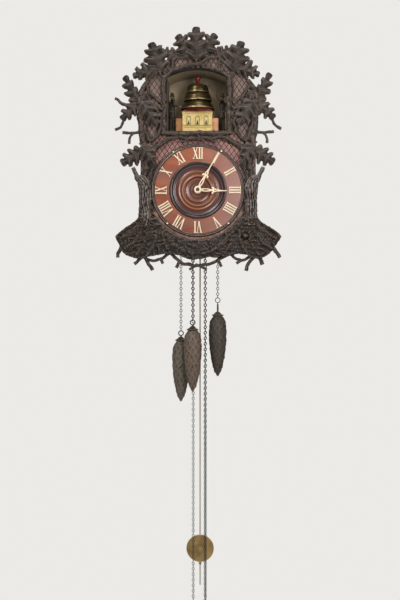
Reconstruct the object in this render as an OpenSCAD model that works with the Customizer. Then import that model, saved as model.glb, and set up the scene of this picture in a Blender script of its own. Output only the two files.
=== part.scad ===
// Carved wall clock with a bell-ringing automaton over the dial, three chain weights and a long pendulum.
// Millimetres. The origin is the hanging hole at the wall, +Z is up and the dial faces -Y.

/* [Case] */
// Half width of the front board, and the radius of its arched top
board_r = 150; // [140:1:180]
// Thickness of the front board
board_t = 10; // [8:0.5:14]
// Depth of the case, from the wall to the back of the front board
case_depth = 172; // [165:1:210]
// Thickness of the side and roof boards
case_wall = 9; // [7:0.5:12]
// Thickness of the back frame
back_t = 12; // [10:0.5:16]
// Radius of the hanging hole in the brass plate
hanger_hole_r = 4; // [3:0.25:5]
// Radius of each chain hole in the case floor
chain_hole_r = 7; // [6:0.5:8]

/* [Stage] */
// Half width of the stage opening
stage_half_w = 77; // [74:1:84]
// Height of the stage opening at its sides
stage_h = 140; // [138:1:150]
// Rise of the arched head of the stage opening
stage_rise = 20; // [16:1:24]
// Depth of the stage behind the front board
stage_depth = 93; // [90:1:96]
// Half width of the chapel
chapel_half_w = 39; // [34:0.5:42]
// Height of the chapel walls
chapel_h = 54; // [50:1:56]
// Rim radius of the largest bell
bell_r = 45; // [40:0.5:47]
// Wall thickness of the bells
bell_wall = 2; // [1.5:0.1:3]
// Radius of the bell spindle
spindle_r = 1.8; // [1.5:0.1:2.5]
// Height of a bell ringer
figure_h = 100; // [90:1:104]

/* [Dial] */
// Outer radius of the chapter ring
dial_r = 113; // [100:1:118]
// Width of the turned moulding round the chapter ring
moulding_w = 8.5; // [6:0.5:10]
// Inner radius of the chapter ring
chapter_inner_r = 75; // [66:1:80]
// Height of a numeral
numeral_h = 30; // [24:1:32]
// Length of the minute hand from its centre
minute_len = 111; // [95:1:112]
// Length of the hour hand from its centre
hour_len = 76; // [60:1:82]
// Angle of the minute hand, clockwise from twelve
minute_angle = 29; // [0:1:359]
// Angle of the hour hand, clockwise from twelve
hour_angle = 92.5; // [0:0.5:359]

/* [Movement] */
// Clear distance between the movement plates
plate_gap = 82; // [78:1:96]
// Thickness of a movement plate
plate_t = 3; // [2.5:0.5:4]
// Thickness of the train wheels
wheel_t = 3; // [2:0.5:4]
// Radius of a train arbor
arbor_r = 2; // [1.5:0.1:2.4]
// Radius of a pivot in the plates
pivot_r = 1.2; // [0.8:0.1:1.4]
// Radial running clearance of pivots and pins
run_gap = 0.05; // [0.02:0.01:0.08]

/* [Chains and weights] */
// Pitch of the chain
chain_pitch = 7.4; // [7:0.1:9]
// Diameter of the chain wire
chain_wire = 1.5; // [1.2:0.1:1.7]
// Outer width of a chain link
link_w = 7; // [6.4:0.1:7.4]
// Links in one chain, without those on the chain wheel
chain_links = 194; // [150:2:220]
// Links between the chain wheel and the left weight
left_links = 45; // [35:2:55]
// Links between the chain wheel and the middle weight
middle_links = 41; // [31:2:51]
// Links between the chain wheel and the right weight
right_links = 33; // [31:2:45]
// Length of a pine cone weight
cone_len = 173; // [150:1:180]
// Largest radius of a pine cone weight
cone_r = 22.4; // [18:0.2:23]

/* [Pendulum] */
// Length of the pendulum from its pivot to the centre of its bob
pendulum_len = 1026; // [800:1:1100]
// Radius of the bob
bob_r = 37.6; // [32:0.5:45]
// Thickness of the bob
bob_t = 13; // [10:0.5:20]
// Radius of the pendulum rod
rod_r = 2; // [1.5:0.1:3]
// Length of the rod below the centre of the bob
rod_tail = 100; // [60:1:110]

/* [Carving] */
// Radius of the left stage post
post_left_r = 7.3; // [6:0.1:8]
// Radius of the right stage post
post_right_r = 8; // [6:0.1:8.5]
// Radius of the tree trunks
trunk_r = 16; // [13:0.5:17]
// Thickness of the base carving
base_t = 24; // [18:1:28]
// Thickness of a leaf blade
leaf_t = 3.6; // [3:0.1:5]

/* [Hidden] */
$fn = 48;

// Heights
arch_z = -98;
niche_x = -4;
niche_floor_z = arch_z - 60;
niche_side_z = niche_floor_z + stage_h;
niche_top_z = niche_side_z + stage_rise;
moulding_r = dial_r + moulding_w;
rail_r = 6.5;
rail_z = niche_floor_z - rail_r + 2.5;
dial_z = niche_floor_z - 33.5 - moulding_r;
case_bottom_z = dial_z - 155;
case_half_w = board_r - 14;
case_in_w = case_half_w - case_wall;
roof_top_z = arch_z + board_r - 20;
roof_hip_w = case_half_w - 18;
roof_flat_w = 60;

// Depths: the front is at negative y
board_back_y = -case_depth;
board_y = board_back_y - board_t;
dial_t = 8;
dial_y = board_y - dial_t;
front_plate_y = board_back_y + 18;
front_inner_y = front_plate_y + plate_t;
back_inner_y = front_inner_y + plate_gap;
back_plate_y = back_inner_y + plate_t;
outer_y = back_inner_y - 26;
middle_y = outer_y - 32;
pendulum_y = back_plate_y + 26;

// Chains and chain wheels
wrap_links = 7;
chain_r = wrap_links * chain_pitch / PI;
wheel_spacing = 2 * chain_r;
link_slack = 0.2;
link_half = (chain_pitch + chain_wire) / 2 + link_slack;
link_bend_r = (link_w - chain_wire) / 2;
chain_inner_r = chain_r - link_w / 2 - 0.4;

// Trains: tooth counts and modules
great_teeth = 48;
great_m = 1.2;
centre_pinion_teeth = 12;
second_pinion_teeth = 8;
centre_teeth = 48;
centre_m = 1.05;
third_teeth = 45;
third_m = 1;
fine_pinion_teeth = 6;
escape_teeth = 30;
cannon_teeth = 14;
minute_wheel_teeth = 42;
minute_m = 0.9;
minute_pinion_teeth = 12;
hour_teeth = 48;
hour_m = minute_m * (cannon_teeth + minute_wheel_teeth) / (minute_pinion_teeth + hour_teeth);

function centres(a, b, m) = m * (a + b) / 2;
function polar(r, a) = [r * cos(a), r * sin(a)];
function phase(from, from_teeth, along, teeth) =
    along + 180 + 180 / teeth - (from - along) * from_teeth / teeth;

centre_p = [0, dial_z];
time_p = centre_p - [0, centres(great_teeth, centre_pinion_teeth, great_m)];
strike_p = time_p + [wheel_spacing, 0];
automaton_p = time_p - [wheel_spacing, 0];
second_reach = centres(great_teeth, second_pinion_teeth, great_m);
second_angle = 60;
strike_pin_p = strike_p + polar(second_reach, second_angle);
automaton_pin_p = automaton_p + polar(second_reach, 180 - second_angle);
third_angle = 135;
third_p = centre_p + polar(centres(centre_teeth, fine_pinion_teeth, centre_m), third_angle);
escape_reach = centres(third_teeth, fine_pinion_teeth, third_m);
escape_angle = acos(-third_p[0] / escape_reach);
escape_p = third_p + polar(escape_reach, escape_angle);
escape_r = 16;
pallet_reach = 22.6;
pivot_p = escape_p + [0, pallet_reach];
motion_angle = 180;
minute_p = centre_p + polar(centres(cannon_teeth, minute_wheel_teeth, minute_m), motion_angle);

time_wheel_y = front_inner_y + 10;
centre_wheel_y = front_inner_y + 33;
third_wheel_y = centre_wheel_y + 14;
escape_wheel_y = back_inner_y - 7;
side_great_y = outer_y - 6;
side_pin_y = side_great_y - 9;
cannon_y = front_plate_y - 3.5;
hour_wheel_y = cannon_y - 5;
motion_t = 2.5;
pin_disc_r = 20;
pin_circle_r = 17;
lift_pin_r = 1;
seat_z = time_p[1] - 43;
seat_t = 12;
plate_half_w = strike_pin_p[0] + 26;
plate_bottom_z = seat_z;
plate_top_z = pivot_p[1] + 28;
pillar_r = 4;
centre_arbor_r = 2.5;
hour_pipe_r = 5;

// Hands
hour_hand_y = dial_y - 9;
minute_hand_y = hour_hand_y - 4.2;
hand_t = 2;

// Stage
stage_wall = 4;
stage_back_y = board_back_y + stage_depth;
chapel_x = -3;
chapel_front_y = board_y + 32;
chapel_depth = 46;
chapel_top_z = niche_floor_z + chapel_h;
chapel_roof_t = 7;
bell_y = chapel_front_y + 21.4;
bell_gap_z = 3.2;
bell_rim_z = chapel_top_z + chapel_roof_t + 4;
bell_step_z = 22;
bell_h = 24;
finial_r = 6.4;
finial_z = bell_rim_z + 2 * bell_step_z + bell_h + 11 + finial_r;
left_figure_p = [niche_x - 67, niche_floor_z];
right_figure_p = [niche_x + 66, niche_floor_z];
left_body_y = board_y + 50;
left_arm_y = left_body_y - 14;
right_body_y = board_y + 56;
right_arm_y = right_body_y - 14;
mound_h = 7;
shoulder_h = figure_h * 0.8;
arm_pivot_r = 1.2;
hammer_r = 2.6;
hammer_gap = 0.6;
crank_reach = 9;
crank_y = stage_back_y - 24;
wire_r = 0.8;
wire_ring_r = 3.4;
wire_y = crank_y - 2.1;

// Small named fits
joint_gap = 0.3;
hanger_w = 64;
hanger_h = 34;
hanger_t = 2;
hanger_screw_x = 24;
door_gap = 2;
door_half_w = 93;
door_h = 236;
door_z = dial_z + 18;
door_t = 9;
door_inset = 2;
hinge_r = 1.9;
hinge_pin_r = 0.9;
hinge_x = -door_half_w - 3;
hinge_y = -hinge_r - 0.3;
hinge_part_h = 9;
hinge_zs = [door_z - 80, door_z + 80];

wood_dark = [0.17, 0.13, 0.11];
wood_board = [0.45, 0.36, 0.34];
wood_case = [0.30, 0.20, 0.14];
wood_red = [0.52, 0.28, 0.21];
bone = [0.93, 0.86, 0.70];
brass = [0.66, 0.52, 0.26];
bell_metal = [0.36, 0.32, 0.18];
steel = [0.55, 0.55, 0.57];
iron = [0.26, 0.21, 0.19];
chain_metal = [0.25, 0.22, 0.20];
chapel_paint = [0.86, 0.78, 0.52];
roof_red = [0.40, 0.08, 0.08];
figure_paint = [0.25, 0.22, 0.20];

// Vectors, splines and swept tubes

function unit(v) = v / norm(v);
function spline_at(p, i, t) =
    let (a = p[max(i - 1, 0)], b = p[i], c = p[i + 1], d = p[min(i + 2, len(p) - 1)])
    0.5 * (2 * b + (c - a) * t + (2 * a - 5 * b + 4 * c - d) * t * t + (3 * b - a - 3 * c + d) * t * t * t);
function spline(p, steps) =
    [for (i = [0 : len(p) - 2], s = [0 : steps - 1]) spline_at(p, i, s / steps), p[len(p) - 1]];
function tangent(p, i) = unit(p[min(i + 1, len(p) - 1)] - p[max(i - 1, 0)]);

// A tube through points [x, y, z, radius], with its rings square to the path
module tube(points, sides = 8, steps = 3) {
    p = spline(points, steps);
    path = [for (q = p) [q[0], q[1], q[2]]];
    rings = len(p);
    verts = [
        for (i = [0 : rings - 1])
            let (t = tangent(path, i), u = unit(cross([0, 1, 0], t)), v = cross(t, u))
            for (k = [0 : sides - 1])
                path[i] + p[i][3] * (cos(360 * k / sides) * u + sin(360 * k / sides) * v)
    ];
    skin(verts, rings, sides);
}

// Local x, y, z become world x, z, -y, with local z = 0 at depth y
module facing(x, y, z) {
    translate([x, y, z]) rotate([90, 0, 0]) children();
}

module bar_y(p, y_front, y_back, r) {
    facing(p[0], y_back, p[1]) cylinder(r = r, h = y_back - y_front);
}

module slab(outline, y_front, t) {
    facing(0, y_front + t, 0) linear_extrude(t) polygon(outline);
}

// A closed skin over rings of points, each ring with the same number of sides
module skin(verts, rings, sides) {
    polyhedron(points = verts, faces = [
        for (i = [0 : rings - 2], k = [0 : sides - 1])
            let (a = i * sides + k, b = i * sides + (k + 1) % sides)
            each [[a, a + sides, b], [b, a + sides, b + sides]],
        [for (k = [0 : sides - 1]) k],
        [for (k = [sides - 1 : -1 : 0]) (rings - 1) * sides + k],
    ]);
}

// A cupped, lobed leaf with a raised midrib, from its stem in the board through base to tip
module leaf(base, tip, half_w, stem = 12, lobes = 3) {
    length = norm(tip - base);
    u = unit(tip - base);
    w = unit(cross(u, [0, -1, 0]));
    n = cross(w, u);
    steps = 17;
    root = base - stem * u;
    stations = concat(
        [[[root[0], board_y + 3, root[2]], 3], [base - 0.25 * stem * u, 2.6]],
        [for (i = [1 : steps]) let (
            v = i / steps,
            swell = pow(max(sin(180 * pow(v, 0.85)), 0), 0.75),
            a = 360 * (lobes * v + 0.42)
        ) [base + length * (v + 0.03 * sin(a)) * u + length * 0.05 * sin(180 * v) * n,
            half_w * swell * (0.74 + 0.26 * cos(a)) + 1.2]]
    );
    t = leaf_t / 2;
    verts = [for (q = stations) let (r = q[1], rib = min(1.8, r / 3), edge = min(r * 0.12, 2.4))
        for (c = [[r, edge], [r / 2, -t], [-r / 2, -t], [-r, edge],
            [-r / 2, t], [-r / 7, t * 0.8], [0, t + rib], [r / 7, t * 0.8]])
            q[0] + c[0] * w + c[1] * n];
    skin(verts, len(stations), 8);
}

// Case

function roof_line(w, hip, flat, top, drop) =
    [[w, arch_z], [hip, arch_z + 82 - drop], [flat, top],
    [-flat, top], [-hip, arch_z + 82 - drop], [-w, arch_z]];

module back_frame() {
    keeper_w = 10;
    color(wood_case) difference() {
        slab(concat(
            [[-case_half_w, case_bottom_z], [case_half_w, case_bottom_z]],
            roof_line(case_half_w, roof_hip_w, roof_flat_w, roof_top_z, 0)
        ), -back_t, back_t);
        translate([-door_half_w - door_gap, -back_t - 1, door_z - door_h / 2 - door_gap])
            cube([2 * (door_half_w + door_gap), back_t + 2, door_h + 2 * door_gap]);
        for (z = hinge_zs)
            translate([hinge_x - 12, -4.5, z - 1.5 * hinge_part_h - 1])
                cube([14, 6, 3 * hinge_part_h + 2]);
        translate([-hanger_w / 2, -hanger_t, -hanger_h / 2]) cube([hanger_w, hanger_t + 1, hanger_h]);
        facing(0, 1, 0) cylinder(r = 9, h = back_t + 2);
        for (x = [-1, 1]) facing(x * hanger_screw_x, 1, 0) cylinder(r = 1.5 + run_gap, h = back_t + 2);
    }
}

module hanger_plate() {
    color(brass) {
        difference() {
            translate([-hanger_w / 2, -hanger_t, -hanger_h / 2]) cube([hanger_w, hanger_t, hanger_h]);
            facing(0, 1, 0) cylinder(r = hanger_hole_r, h = hanger_t + 2);
            for (x = [-1, 1]) facing(x * hanger_screw_x, 1, 0) cylinder(r = 3.2, h = hanger_t + 2);
        }
        for (x = [-1, 1]) facing(x * hanger_screw_x, 0, 0) difference() {
            union() {
                translate([0, 0, 0.2]) cylinder(r = 3.1, h = hanger_t - 0.2);
                translate([0, 0, hanger_t - 0.1]) cylinder(r = 1.5, h = back_t - hanger_t - 1);
            }
            translate([-4, -0.4, -1]) cube([8, 0.8, 1.8]);
        }
    }
}

module back_door() {
    color(wood_case) translate([-door_half_w, -back_t, door_z - door_h / 2])
        difference() {
            cube([2 * door_half_w, door_t, door_h]);
            for (i = [0 : 4]) translate([door_half_w - 40 + 20 * i, -1, door_h / 2])
                rotate([-90, 0, 0]) cylinder(r = 6, h = door_t + 2);
        }
    color(brass) for (z = hinge_zs) {
        translate([hinge_x + 3, -door_inset - 1, z - hinge_part_h / 2 + 0.3])
            cube([22, 1.2, hinge_part_h - 0.6]);
        difference() {
            union() {
                translate([hinge_x, hinge_y, z - hinge_part_h / 2 + 0.3])
                    cylinder(r = hinge_r, h = hinge_part_h - 0.6);
                translate([hinge_x, hinge_y - 0.6, z - hinge_part_h / 2 + 0.3])
                    cube([5, 1.2, hinge_part_h - 0.6]);
            }
            translate([hinge_x, hinge_y, z - hinge_part_h])
                cylinder(r = hinge_pin_r + run_gap, h = 2 * hinge_part_h);
        }
    }
}

module door_hinges() {
    color(brass) for (z = hinge_zs) union() {
        for (s = [-1, 1]) translate([0, 0, z + s * hinge_part_h]) {
            translate([hinge_x, hinge_y, -hinge_part_h / 2]) cylinder(r = hinge_r, h = hinge_part_h);
            translate([hinge_x - 11, -4.5, -hinge_part_h / 2]) cube([11, 1.4, hinge_part_h]);
        }
        translate([hinge_x, hinge_y, z - 1.5 * hinge_part_h]) cylinder(r = hinge_pin_r, h = 3 * hinge_part_h);
    }
}

module case_sides() {
    color(wood_case) for (s = [-1, 1]) difference() {
        translate([s > 0 ? case_in_w : -case_half_w, board_back_y, case_bottom_z])
            cube([case_wall, case_depth - back_t, arch_z - case_bottom_z]);
        for (row = [0 : 2], i = [0 : 3])
            translate([s * case_half_w, board_back_y + 62 + 18 * i, dial_z + 18 * (row - 1)])
                rotate([0, 90, 0]) cylinder(r = 5, h = 4 * case_wall, center = true);
    }
}

module case_roof() {
    outer = roof_line(case_half_w, roof_hip_w, roof_flat_w, roof_top_z, 0);
    inner = roof_line(case_in_w, roof_hip_w - 8, roof_flat_w - 4, roof_top_z - case_wall, 4);
    color(wood_case)
        slab(concat(outer, [for (i = [len(inner) - 1 : -1 : 0]) inner[i]]), board_back_y, case_depth - back_t);
}

function chain_spots() = [
    [automaton_p[0] - chain_r, outer_y], [automaton_p[0] + chain_r, outer_y],
    [strike_p[0] - chain_r, outer_y], [strike_p[0] + chain_r, outer_y],
    [time_p[0] - chain_r, middle_y], [time_p[0] + chain_r, middle_y],
];

module chain_holes(z, h) {
    for (p = chain_spots()) translate([p[0], p[1], z - 1]) cylinder(r = chain_hole_r, h = h + 2);
}

module case_floor() {
    swing = 18;
    color(wood_case) difference() {
        translate([-case_in_w, board_back_y, case_bottom_z])
            cube([2 * case_in_w, case_depth - back_t, case_wall]);
        chain_holes(case_bottom_z, case_wall);
        translate([-swing, pendulum_y - 8, case_bottom_z - 1]) cube([2 * swing, 16, case_wall + 2]);
    }
}

module seat_board() {
    color(wood_case) difference() {
        translate([-case_in_w, front_plate_y - 6, seat_z - seat_t])
            cube([2 * case_in_w, plate_gap + 2 * plate_t + 12, seat_t]);
        chain_holes(seat_z - seat_t, seat_t);
    }
}

module niche_outline(grow) {
    half = stage_half_w + grow;
    rise_r = (stage_half_w * stage_half_w + stage_rise * stage_rise) / (2 * stage_rise) + grow;
    translate([niche_x, 0]) {
        translate([-half, niche_floor_z - grow]) square([2 * half, stage_h + grow]);
        intersection() {
            translate([0, niche_top_z + grow - rise_r]) circle(rise_r);
            translate([-half, niche_side_z - 1]) square([2 * half, stage_rise + grow + 2]);
        }
    }
}

module front_board() {
    dial_hole_r = 34;
    color(wood_board) facing(0, board_back_y, 0) linear_extrude(board_t) difference() {
        union() {
            translate([0, arch_z]) circle(board_r);
            translate([-board_r, case_bottom_z + 26]) square([2 * board_r, arch_z - case_bottom_z - 26]);
        }
        niche_outline(0);
        translate([0, dial_z]) circle(dial_hole_r);
    }
}

module stage_box() {
    deep = stage_depth;
    color([0.38, 0.35, 0.28]) difference() {
        facing(0, stage_back_y, 0) linear_extrude(deep) niche_outline(stage_wall);
        facing(0, stage_back_y - stage_wall, 0) linear_extrude(deep) niche_outline(0);
        for (x = [left_wire_x(), right_wire_x()])
            translate([x, wire_y, niche_floor_z - stage_wall - 1])
                cylinder(r = wire_r + 1, h = stage_wall + 2);
    }
    color([0.22, 0.28, 0.12]) for (g = [[left_figure_p, left_body_y], [right_figure_p, right_body_y]])
        translate([g[0][0], g[1], niche_floor_z]) difference() {
            cylinder(r1 = 9.5, r2 = 7.5, h = mound_h);
            translate([-12, 9, -1]) cube([24, 20, mound_h + 2]);
        }
}

// Carving

function side_x(s, outward) = s * (board_r + outward);

module niche_branches() {
    y = board_y - 7;
    left_x = niche_x - stage_half_w - post_left_r;
    right_x = niche_x + stage_half_w + post_right_r + 0.5;
    top = niche_side_z;
    color(wood_dark) {
        tube([[left_x - 1, y, rail_z, post_left_r], [left_x + 1, y, rail_z + 60, post_left_r - 0.8],
            [left_x - 1, y, top - 36, post_left_r], [left_x, y, top + 2, post_left_r - 1]], 10, 3);
        tube([[right_x + 1, y, rail_z, post_right_r], [right_x - 1, y, rail_z + 56, post_right_r - 1],
            [right_x + 1, y, top - 36, post_right_r], [right_x, y, top + 2, post_right_r - 1.4]], 10, 3);
        tube([[left_x - 2, y, top - 6, 5.5], [niche_x - 61, y, top + 16, 5],
            [niche_x - 30, y - 2, top + 25, 4.6],
            [niche_x + 7, y - 5, top + 34, 5], [niche_x + 40, y - 5, top + 50, 4]]);
        tube([[right_x + 2, y, top - 6, 5.5], [niche_x + 66, y, top + 13, 5],
            [niche_x + 42, y, top + 20, 4.6],
            [niche_x + 16, y + 1, top + 25, 4]]);
        tube([[niche_x - 60, y + 1, top + 14, 4.4], [niche_x - 62, y, top + 44, 3.8],
            [niche_x - 60, y, top + 72, 4.4]]);
        tube([[niche_x + 58, y + 1, top + 14, 4.4], [niche_x + 60, y, top + 44, 3.8],
            [niche_x + 57, y, top + 76, 4.4]]);
    }
}

module rail_branches() {
    y = board_y - 7;
    post_x = stage_half_w + 15;
    color(wood_dark) {
        tube([[-102, y, rail_z + 1, 6], [-50, y - 2, rail_z - 1, rail_r], [0, y - 2, rail_z + 1, 5.6],
            [50, y - 2, rail_z - 1, rail_r], [99, y, rail_z + 1, 6]], 10, 4);
        for (s = [-1, 1]) {
            tube([[s * 60, y + 1, rail_z - 2, 4.6], [s * 98, y, rail_z - 19, 5.4],
                [side_x(s, -24), y, rail_z - 48, 5.6], [side_x(s, -10), y, rail_z - 84, 5]]);
            tube([[s * post_x, y + 1, arch_z + 10, 5], [side_x(s, -27), y, arch_z + 36, 4.2],
                [side_x(s, -14), y, arch_z + 66, 4.4]]);
            tube([[s * post_x, y + 1, arch_z - 4, 4.6], [side_x(s, -22), y, arch_z + 8, 4],
                [side_x(s, -8), y, arch_z + 12, 5]]);
            tube([[side_x(s, -9), y, arch_z + 2, 5], [side_x(s, -8), y, arch_z - 38, 4.6],
                [side_x(s, -24), y, arch_z - 84, 4.6]]);
            tube([[side_x(s, -12), y + 1, arch_z - 62, 4.4], [side_x(s, 20), y, arch_z - 67, 3.6],
                [side_x(s, 46), y, arch_z - 64, 4]]);
            tube([[side_x(s, 20), y, arch_z - 68, 3.4], [side_x(s, 28), y, arch_z - 78, 3],
                [side_x(s, 29), y, arch_z - 93, 3.6]]);
        }
    }
}

module crown_leaves() {
    top = arch_z + board_r;
    y = board_y;
    color(wood_dark) {
        leaf([-4, y - 13, top - 30], [-4, y - 30, top + 60], 27, 9);
        leaf([-12, y - 8, top - 17], [-48, y - 14, top + 42], 22);
        leaf([6, y - 8, top - 17], [41, y - 14, top + 44], 22);
        leaf([-58, y - 6, top - 14], [-95, y - 14, top], 11);
        leaf([54, y - 6, top - 14], [88, y - 14, top + 7], 11);
    }
}

// Leaves at one side: sideways places outward from the board's edge, heights from the arch centre
module side_leaves(s, list) {
    color(wood_dark) for (a = list)
        leaf(
            [side_x(s, a[0]), board_y + a[1], arch_z + a[2]],
            [side_x(s, a[3]), board_y + a[4], arch_z + a[5]],
            a[6],
            a[7]
        );
}

left_leaf_list = [
    [-54, -10, 99, -29, -22, 172, 25, 12], [-54, -8, 104, 18, -18, 78, 25, 12],
    [6, -8, 22, 41, -16, 84, 21, 22], [6, -7, 9, 50, -15, -30, 19, 20],
    [-10, -14, 10, -46, -24, -46, 20, 7], [-7, -8, -118, 49, -16, -146, 22, 10],
    [-4, -14, -104, -38, -22, -150, 18, 10],
];
right_leaf_list = [
    [-62, -10, 98, -38, -22, 174, 24, 12], [-62, -8, 106, 9, -18, 80, 25, 12],
    [-2, -8, 26, 42, -16, 90, 21, 18], [1, -7, 12, 47, -15, -30, 20, 16],
    [-10, -14, 10, -46, -24, -46, 20, 10], [-7, -8, -115, 47, -16, -146, 22, 10],
    [-4, -14, -102, -36, -22, -146, 18, 10],
];

module side_twigs(s, reach) {
    y = board_y - 8;
    color(wood_dark) {
        tube([[side_x(s, 6), y, arch_z + 8, 4.6], [side_x(s, 45), y, arch_z + 10, 4.2],
            [side_x(s, 58), y, arch_z + 21, 3.6], [side_x(s, reach), y, arch_z + 24, 4.2]]);
        tube([[side_x(s, 40), y, arch_z - 27, 3.4], [side_x(s, 51), y, arch_z - 50, 3.4],
            [side_x(s, 66), y, arch_z - 57, 4.2]]);
    }
}

module leaves_left() {
    side_leaves(-1, left_leaf_list);
    side_twigs(-1, 66.5);
}

module leaves_right() {
    side_leaves(1, right_leaf_list);
    y = board_y - 8;
    color(wood_dark) tube([[side_x(1, 40), y, arch_z - 27, 3.4], [side_x(1, 50), y, arch_z - 48, 3.4],
        [side_x(1, 66), y, arch_z - 56, 4.2]]);
}

module trunks() {
    y = board_y - 9;
    top = dial_z + 32;
    foot = case_bottom_z + 64;
    color(wood_dark) difference() {
        for (s = [-1, 1]) {
            tube([[side_x(s, 7), y, top, 7], [side_x(s, -2), y, top - 5, 12.5],
                [side_x(s, -11), y, top - 22, trunk_r], [side_x(s, -12), y, dial_z - 35, trunk_r - 1.5],
                [side_x(s, -12), y, dial_z - 70, trunk_r], [side_x(s, -10), y, foot, trunk_r + 1.5]], 12, 4);
            tube([[side_x(s, 3), y, top - 8, 7], [side_x(s, 11), y, top + 10, 5.4],
                [side_x(s, 19), y, top + 27, 5]], 8, 2);
        }
        translate([-board_r - 60, board_y, case_bottom_z])
            cube([2 * board_r + 120, 40, top - case_bottom_z + 60]);
    }
}

// One half of the base carving's lower edge: outward from the board's edge, up from the case bottom
base_left = [
    [4, 84], [19, 68], [37, 56], [61, 35], [62, 30], [53, 13], [50, 0], [37, -13], [14, -21], [-4, -23],
];
base_right = [
    [4, 84], [16, 68], [40, 56], [61, 38], [67, 30], [51, 10], [37, -9], [16, -21], [-10, -23],
];
function base_edge(s) = [for (p = s < 0 ? base_left : base_right) [side_x(s, p[0]), case_bottom_z + p[1]]];
base_middle = [
    [-125, -17], [-104, -14], [-83, -10], [-60, -12], [-39, -19], [-16, -26], [5, -25], [26, -19],
    [47, -21], [62, -18], [83, -16], [101, -12], [125, -13],
];

module base_carving() {
    y = board_y - 8;
    ridge_y = board_y - base_t + 1.5;
    z = case_bottom_z;
    left = base_edge(-1);
    right = base_edge(1);
    outline = concat(left, [for (p = base_middle) [p[0], z + p[1]]],
        [for (i = [len(right) - 1 : -1 : 0]) right[i]]);
    color(wood_dark) {
        difference() {
            slab(outline, board_y - base_t, base_t);
            facing(0, board_y + 1, dial_z) cylinder(r = moulding_r + joint_gap, h = base_t + 2);
        }
        tube([[side_x(-1, 50), y, z + 6, 5], [side_x(-1, 57), y, z - 8, 4.2],
            [side_x(-1, 59), y, z - 19, 4.6]]);
        tube([[side_x(-1, -7), y, z - 16, 4.6], [side_x(-1, 6), y, z - 29, 4],
            [side_x(-1, 15), y, z - 36, 4.4]]);
        tube([[-142, y, z - 14, 5], [-128, y, z - 35, 4.6], [-118, y, z - 52, 4.8]]);
        tube([[-148, y, z - 14, 4], [-119, y, z - 29, 3.6], [-95, y, z - 22, 3.8], [-70, y, z - 6, 4.2]]);
        tube([[-98, y, z - 22, 3.6], [-91, y, z - 35, 3.8]], 8, 2);
        tube([[-76, y, z - 4, 4.4], [-52, y, z - 26, 4.2], [-31, y, z - 37, 4.2], [5, y, z - 39, 4],
            [39, y, z - 33, 4], [62, y, z - 20, 4.2], [88, y, z - 6, 4.4]], 8, 3);
        tube([[-48, y, z - 28, 4], [-56, y, z - 46, 4.2]], 8, 2);
        tube([[-2, y, z - 38, 3.2], [-22, y, z - 51, 3.4]], 8, 2);
        tube([[-6, y, z - 37, 3.2], [23, y, z - 51, 3.2]], 8, 2);
        tube([[53, y, z - 26, 3.6], [61, y, z - 43, 3.8]], 8, 2);
        tube([[86, y, z - 12, 4], [109, y, z - 28, 3.6], [130, y, z - 20, 3.8], [146, y, z - 8, 4]]);
        tube([[116, y, z - 26, 3.4], [100, y, z - 35, 3.8]], 8, 2);
        tube([[152, y, z - 12, 5], [132, y, z - 34, 4.4], [125, y, z - 54, 4.8]]);
        tube([[side_x(1, 8), y, z - 14, 5.4], [side_x(1, 17), y, z - 38, 5]], 8, 2);
        tube([[side_x(1, 46), y, z + 4, 5], [side_x(1, 56), y, z - 10, 4.6],
            [side_x(1, 62), y, z - 20, 4.8]]);
        for (s = [-1, 1]) {
            tube([[side_x(s, -14), ridge_y, z + 74, 4], [side_x(s, 16), ridge_y - 1, z + 44, 6.5],
                [side_x(s, 48), ridge_y, z + 26, 3.5]], 8, 3);
            tube([[side_x(s, -24), ridge_y, z + 58, 3.5], [side_x(s, -6), ridge_y - 1, z + 18, 6],
                [side_x(s, 34), ridge_y, z, 3.5]], 8, 3);
            tube([[side_x(s, -48), ridge_y, z + 40, 3], [side_x(s, -42), ridge_y, z + 12, 5.5],
                [side_x(s, -16), ridge_y, z - 12, 3]], 8, 3);
            tube([[s * 86, ridge_y, z + 22, 3], [s * 62, ridge_y, z + 6, 5],
                [s * 16, ridge_y, z - 10, 3]], 8, 3);
        }
    }
}

// Dial and hands

module dial_ring() {
    color(wood_red) facing(0, board_y, dial_z) difference() {
        cylinder(r = dial_r, h = dial_t);
        translate([0, 0, -1]) cylinder(r = chapter_inner_r, h = dial_t + 2);
    }
}

module dial_moulding() {
    color(wood_dark) facing(0, board_y, dial_z) rotate_extrude($fn = 96) difference() {
        translate([dial_r, 0]) square([moulding_w, dial_t + 6]);
        translate([dial_r + moulding_w * 0.36, dial_t + 6]) circle(r = 1.3);
        translate([dial_r + moulding_w * 0.72, dial_t + 6]) circle(r = 1.3);
    }
}

module dial_centre() {
    r = chapter_inner_r - joint_gap;
    color(wood_red) facing(0, board_y, dial_z) rotate_extrude($fn = 96) polygon([
        [hour_pipe_r + 1, 0], [r, 0], [r, dial_t + 1], [r - 3, dial_t + 2], [r - 8, dial_t + 1],
        [r - 9, dial_t - 1.5], [r - 11, dial_t - 1.5], [r - 19, dial_t], [r - 21, dial_t + 1],
        [r - 24, dial_t - 0.5], [r - 40, dial_t - 1.5], [r - 42, dial_t], [r - 45, dial_t - 1],
        [hour_pipe_r + 1, dial_t - 2],
    ]);
}

NUMERALS = ["XII", "I", "II", "III", "IIII", "V", "VI", "VII", "VIII", "IX", "X", "XI"];
thick = 3.4;
thin = 1.7;
function glyph_w(c) = c == "I" ? thick + 3 : 15;
function text_w(s, n) = n == 0 ? 0 : glyph_w(s[n - 1]) + text_w(s, n - 1);

module stroke(x0, x1, w) {
    polygon([[x0 - w / 2, 0], [x0 + w / 2, 0], [x1 + w / 2, numeral_h], [x1 - w / 2, numeral_h]]);
}

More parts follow.
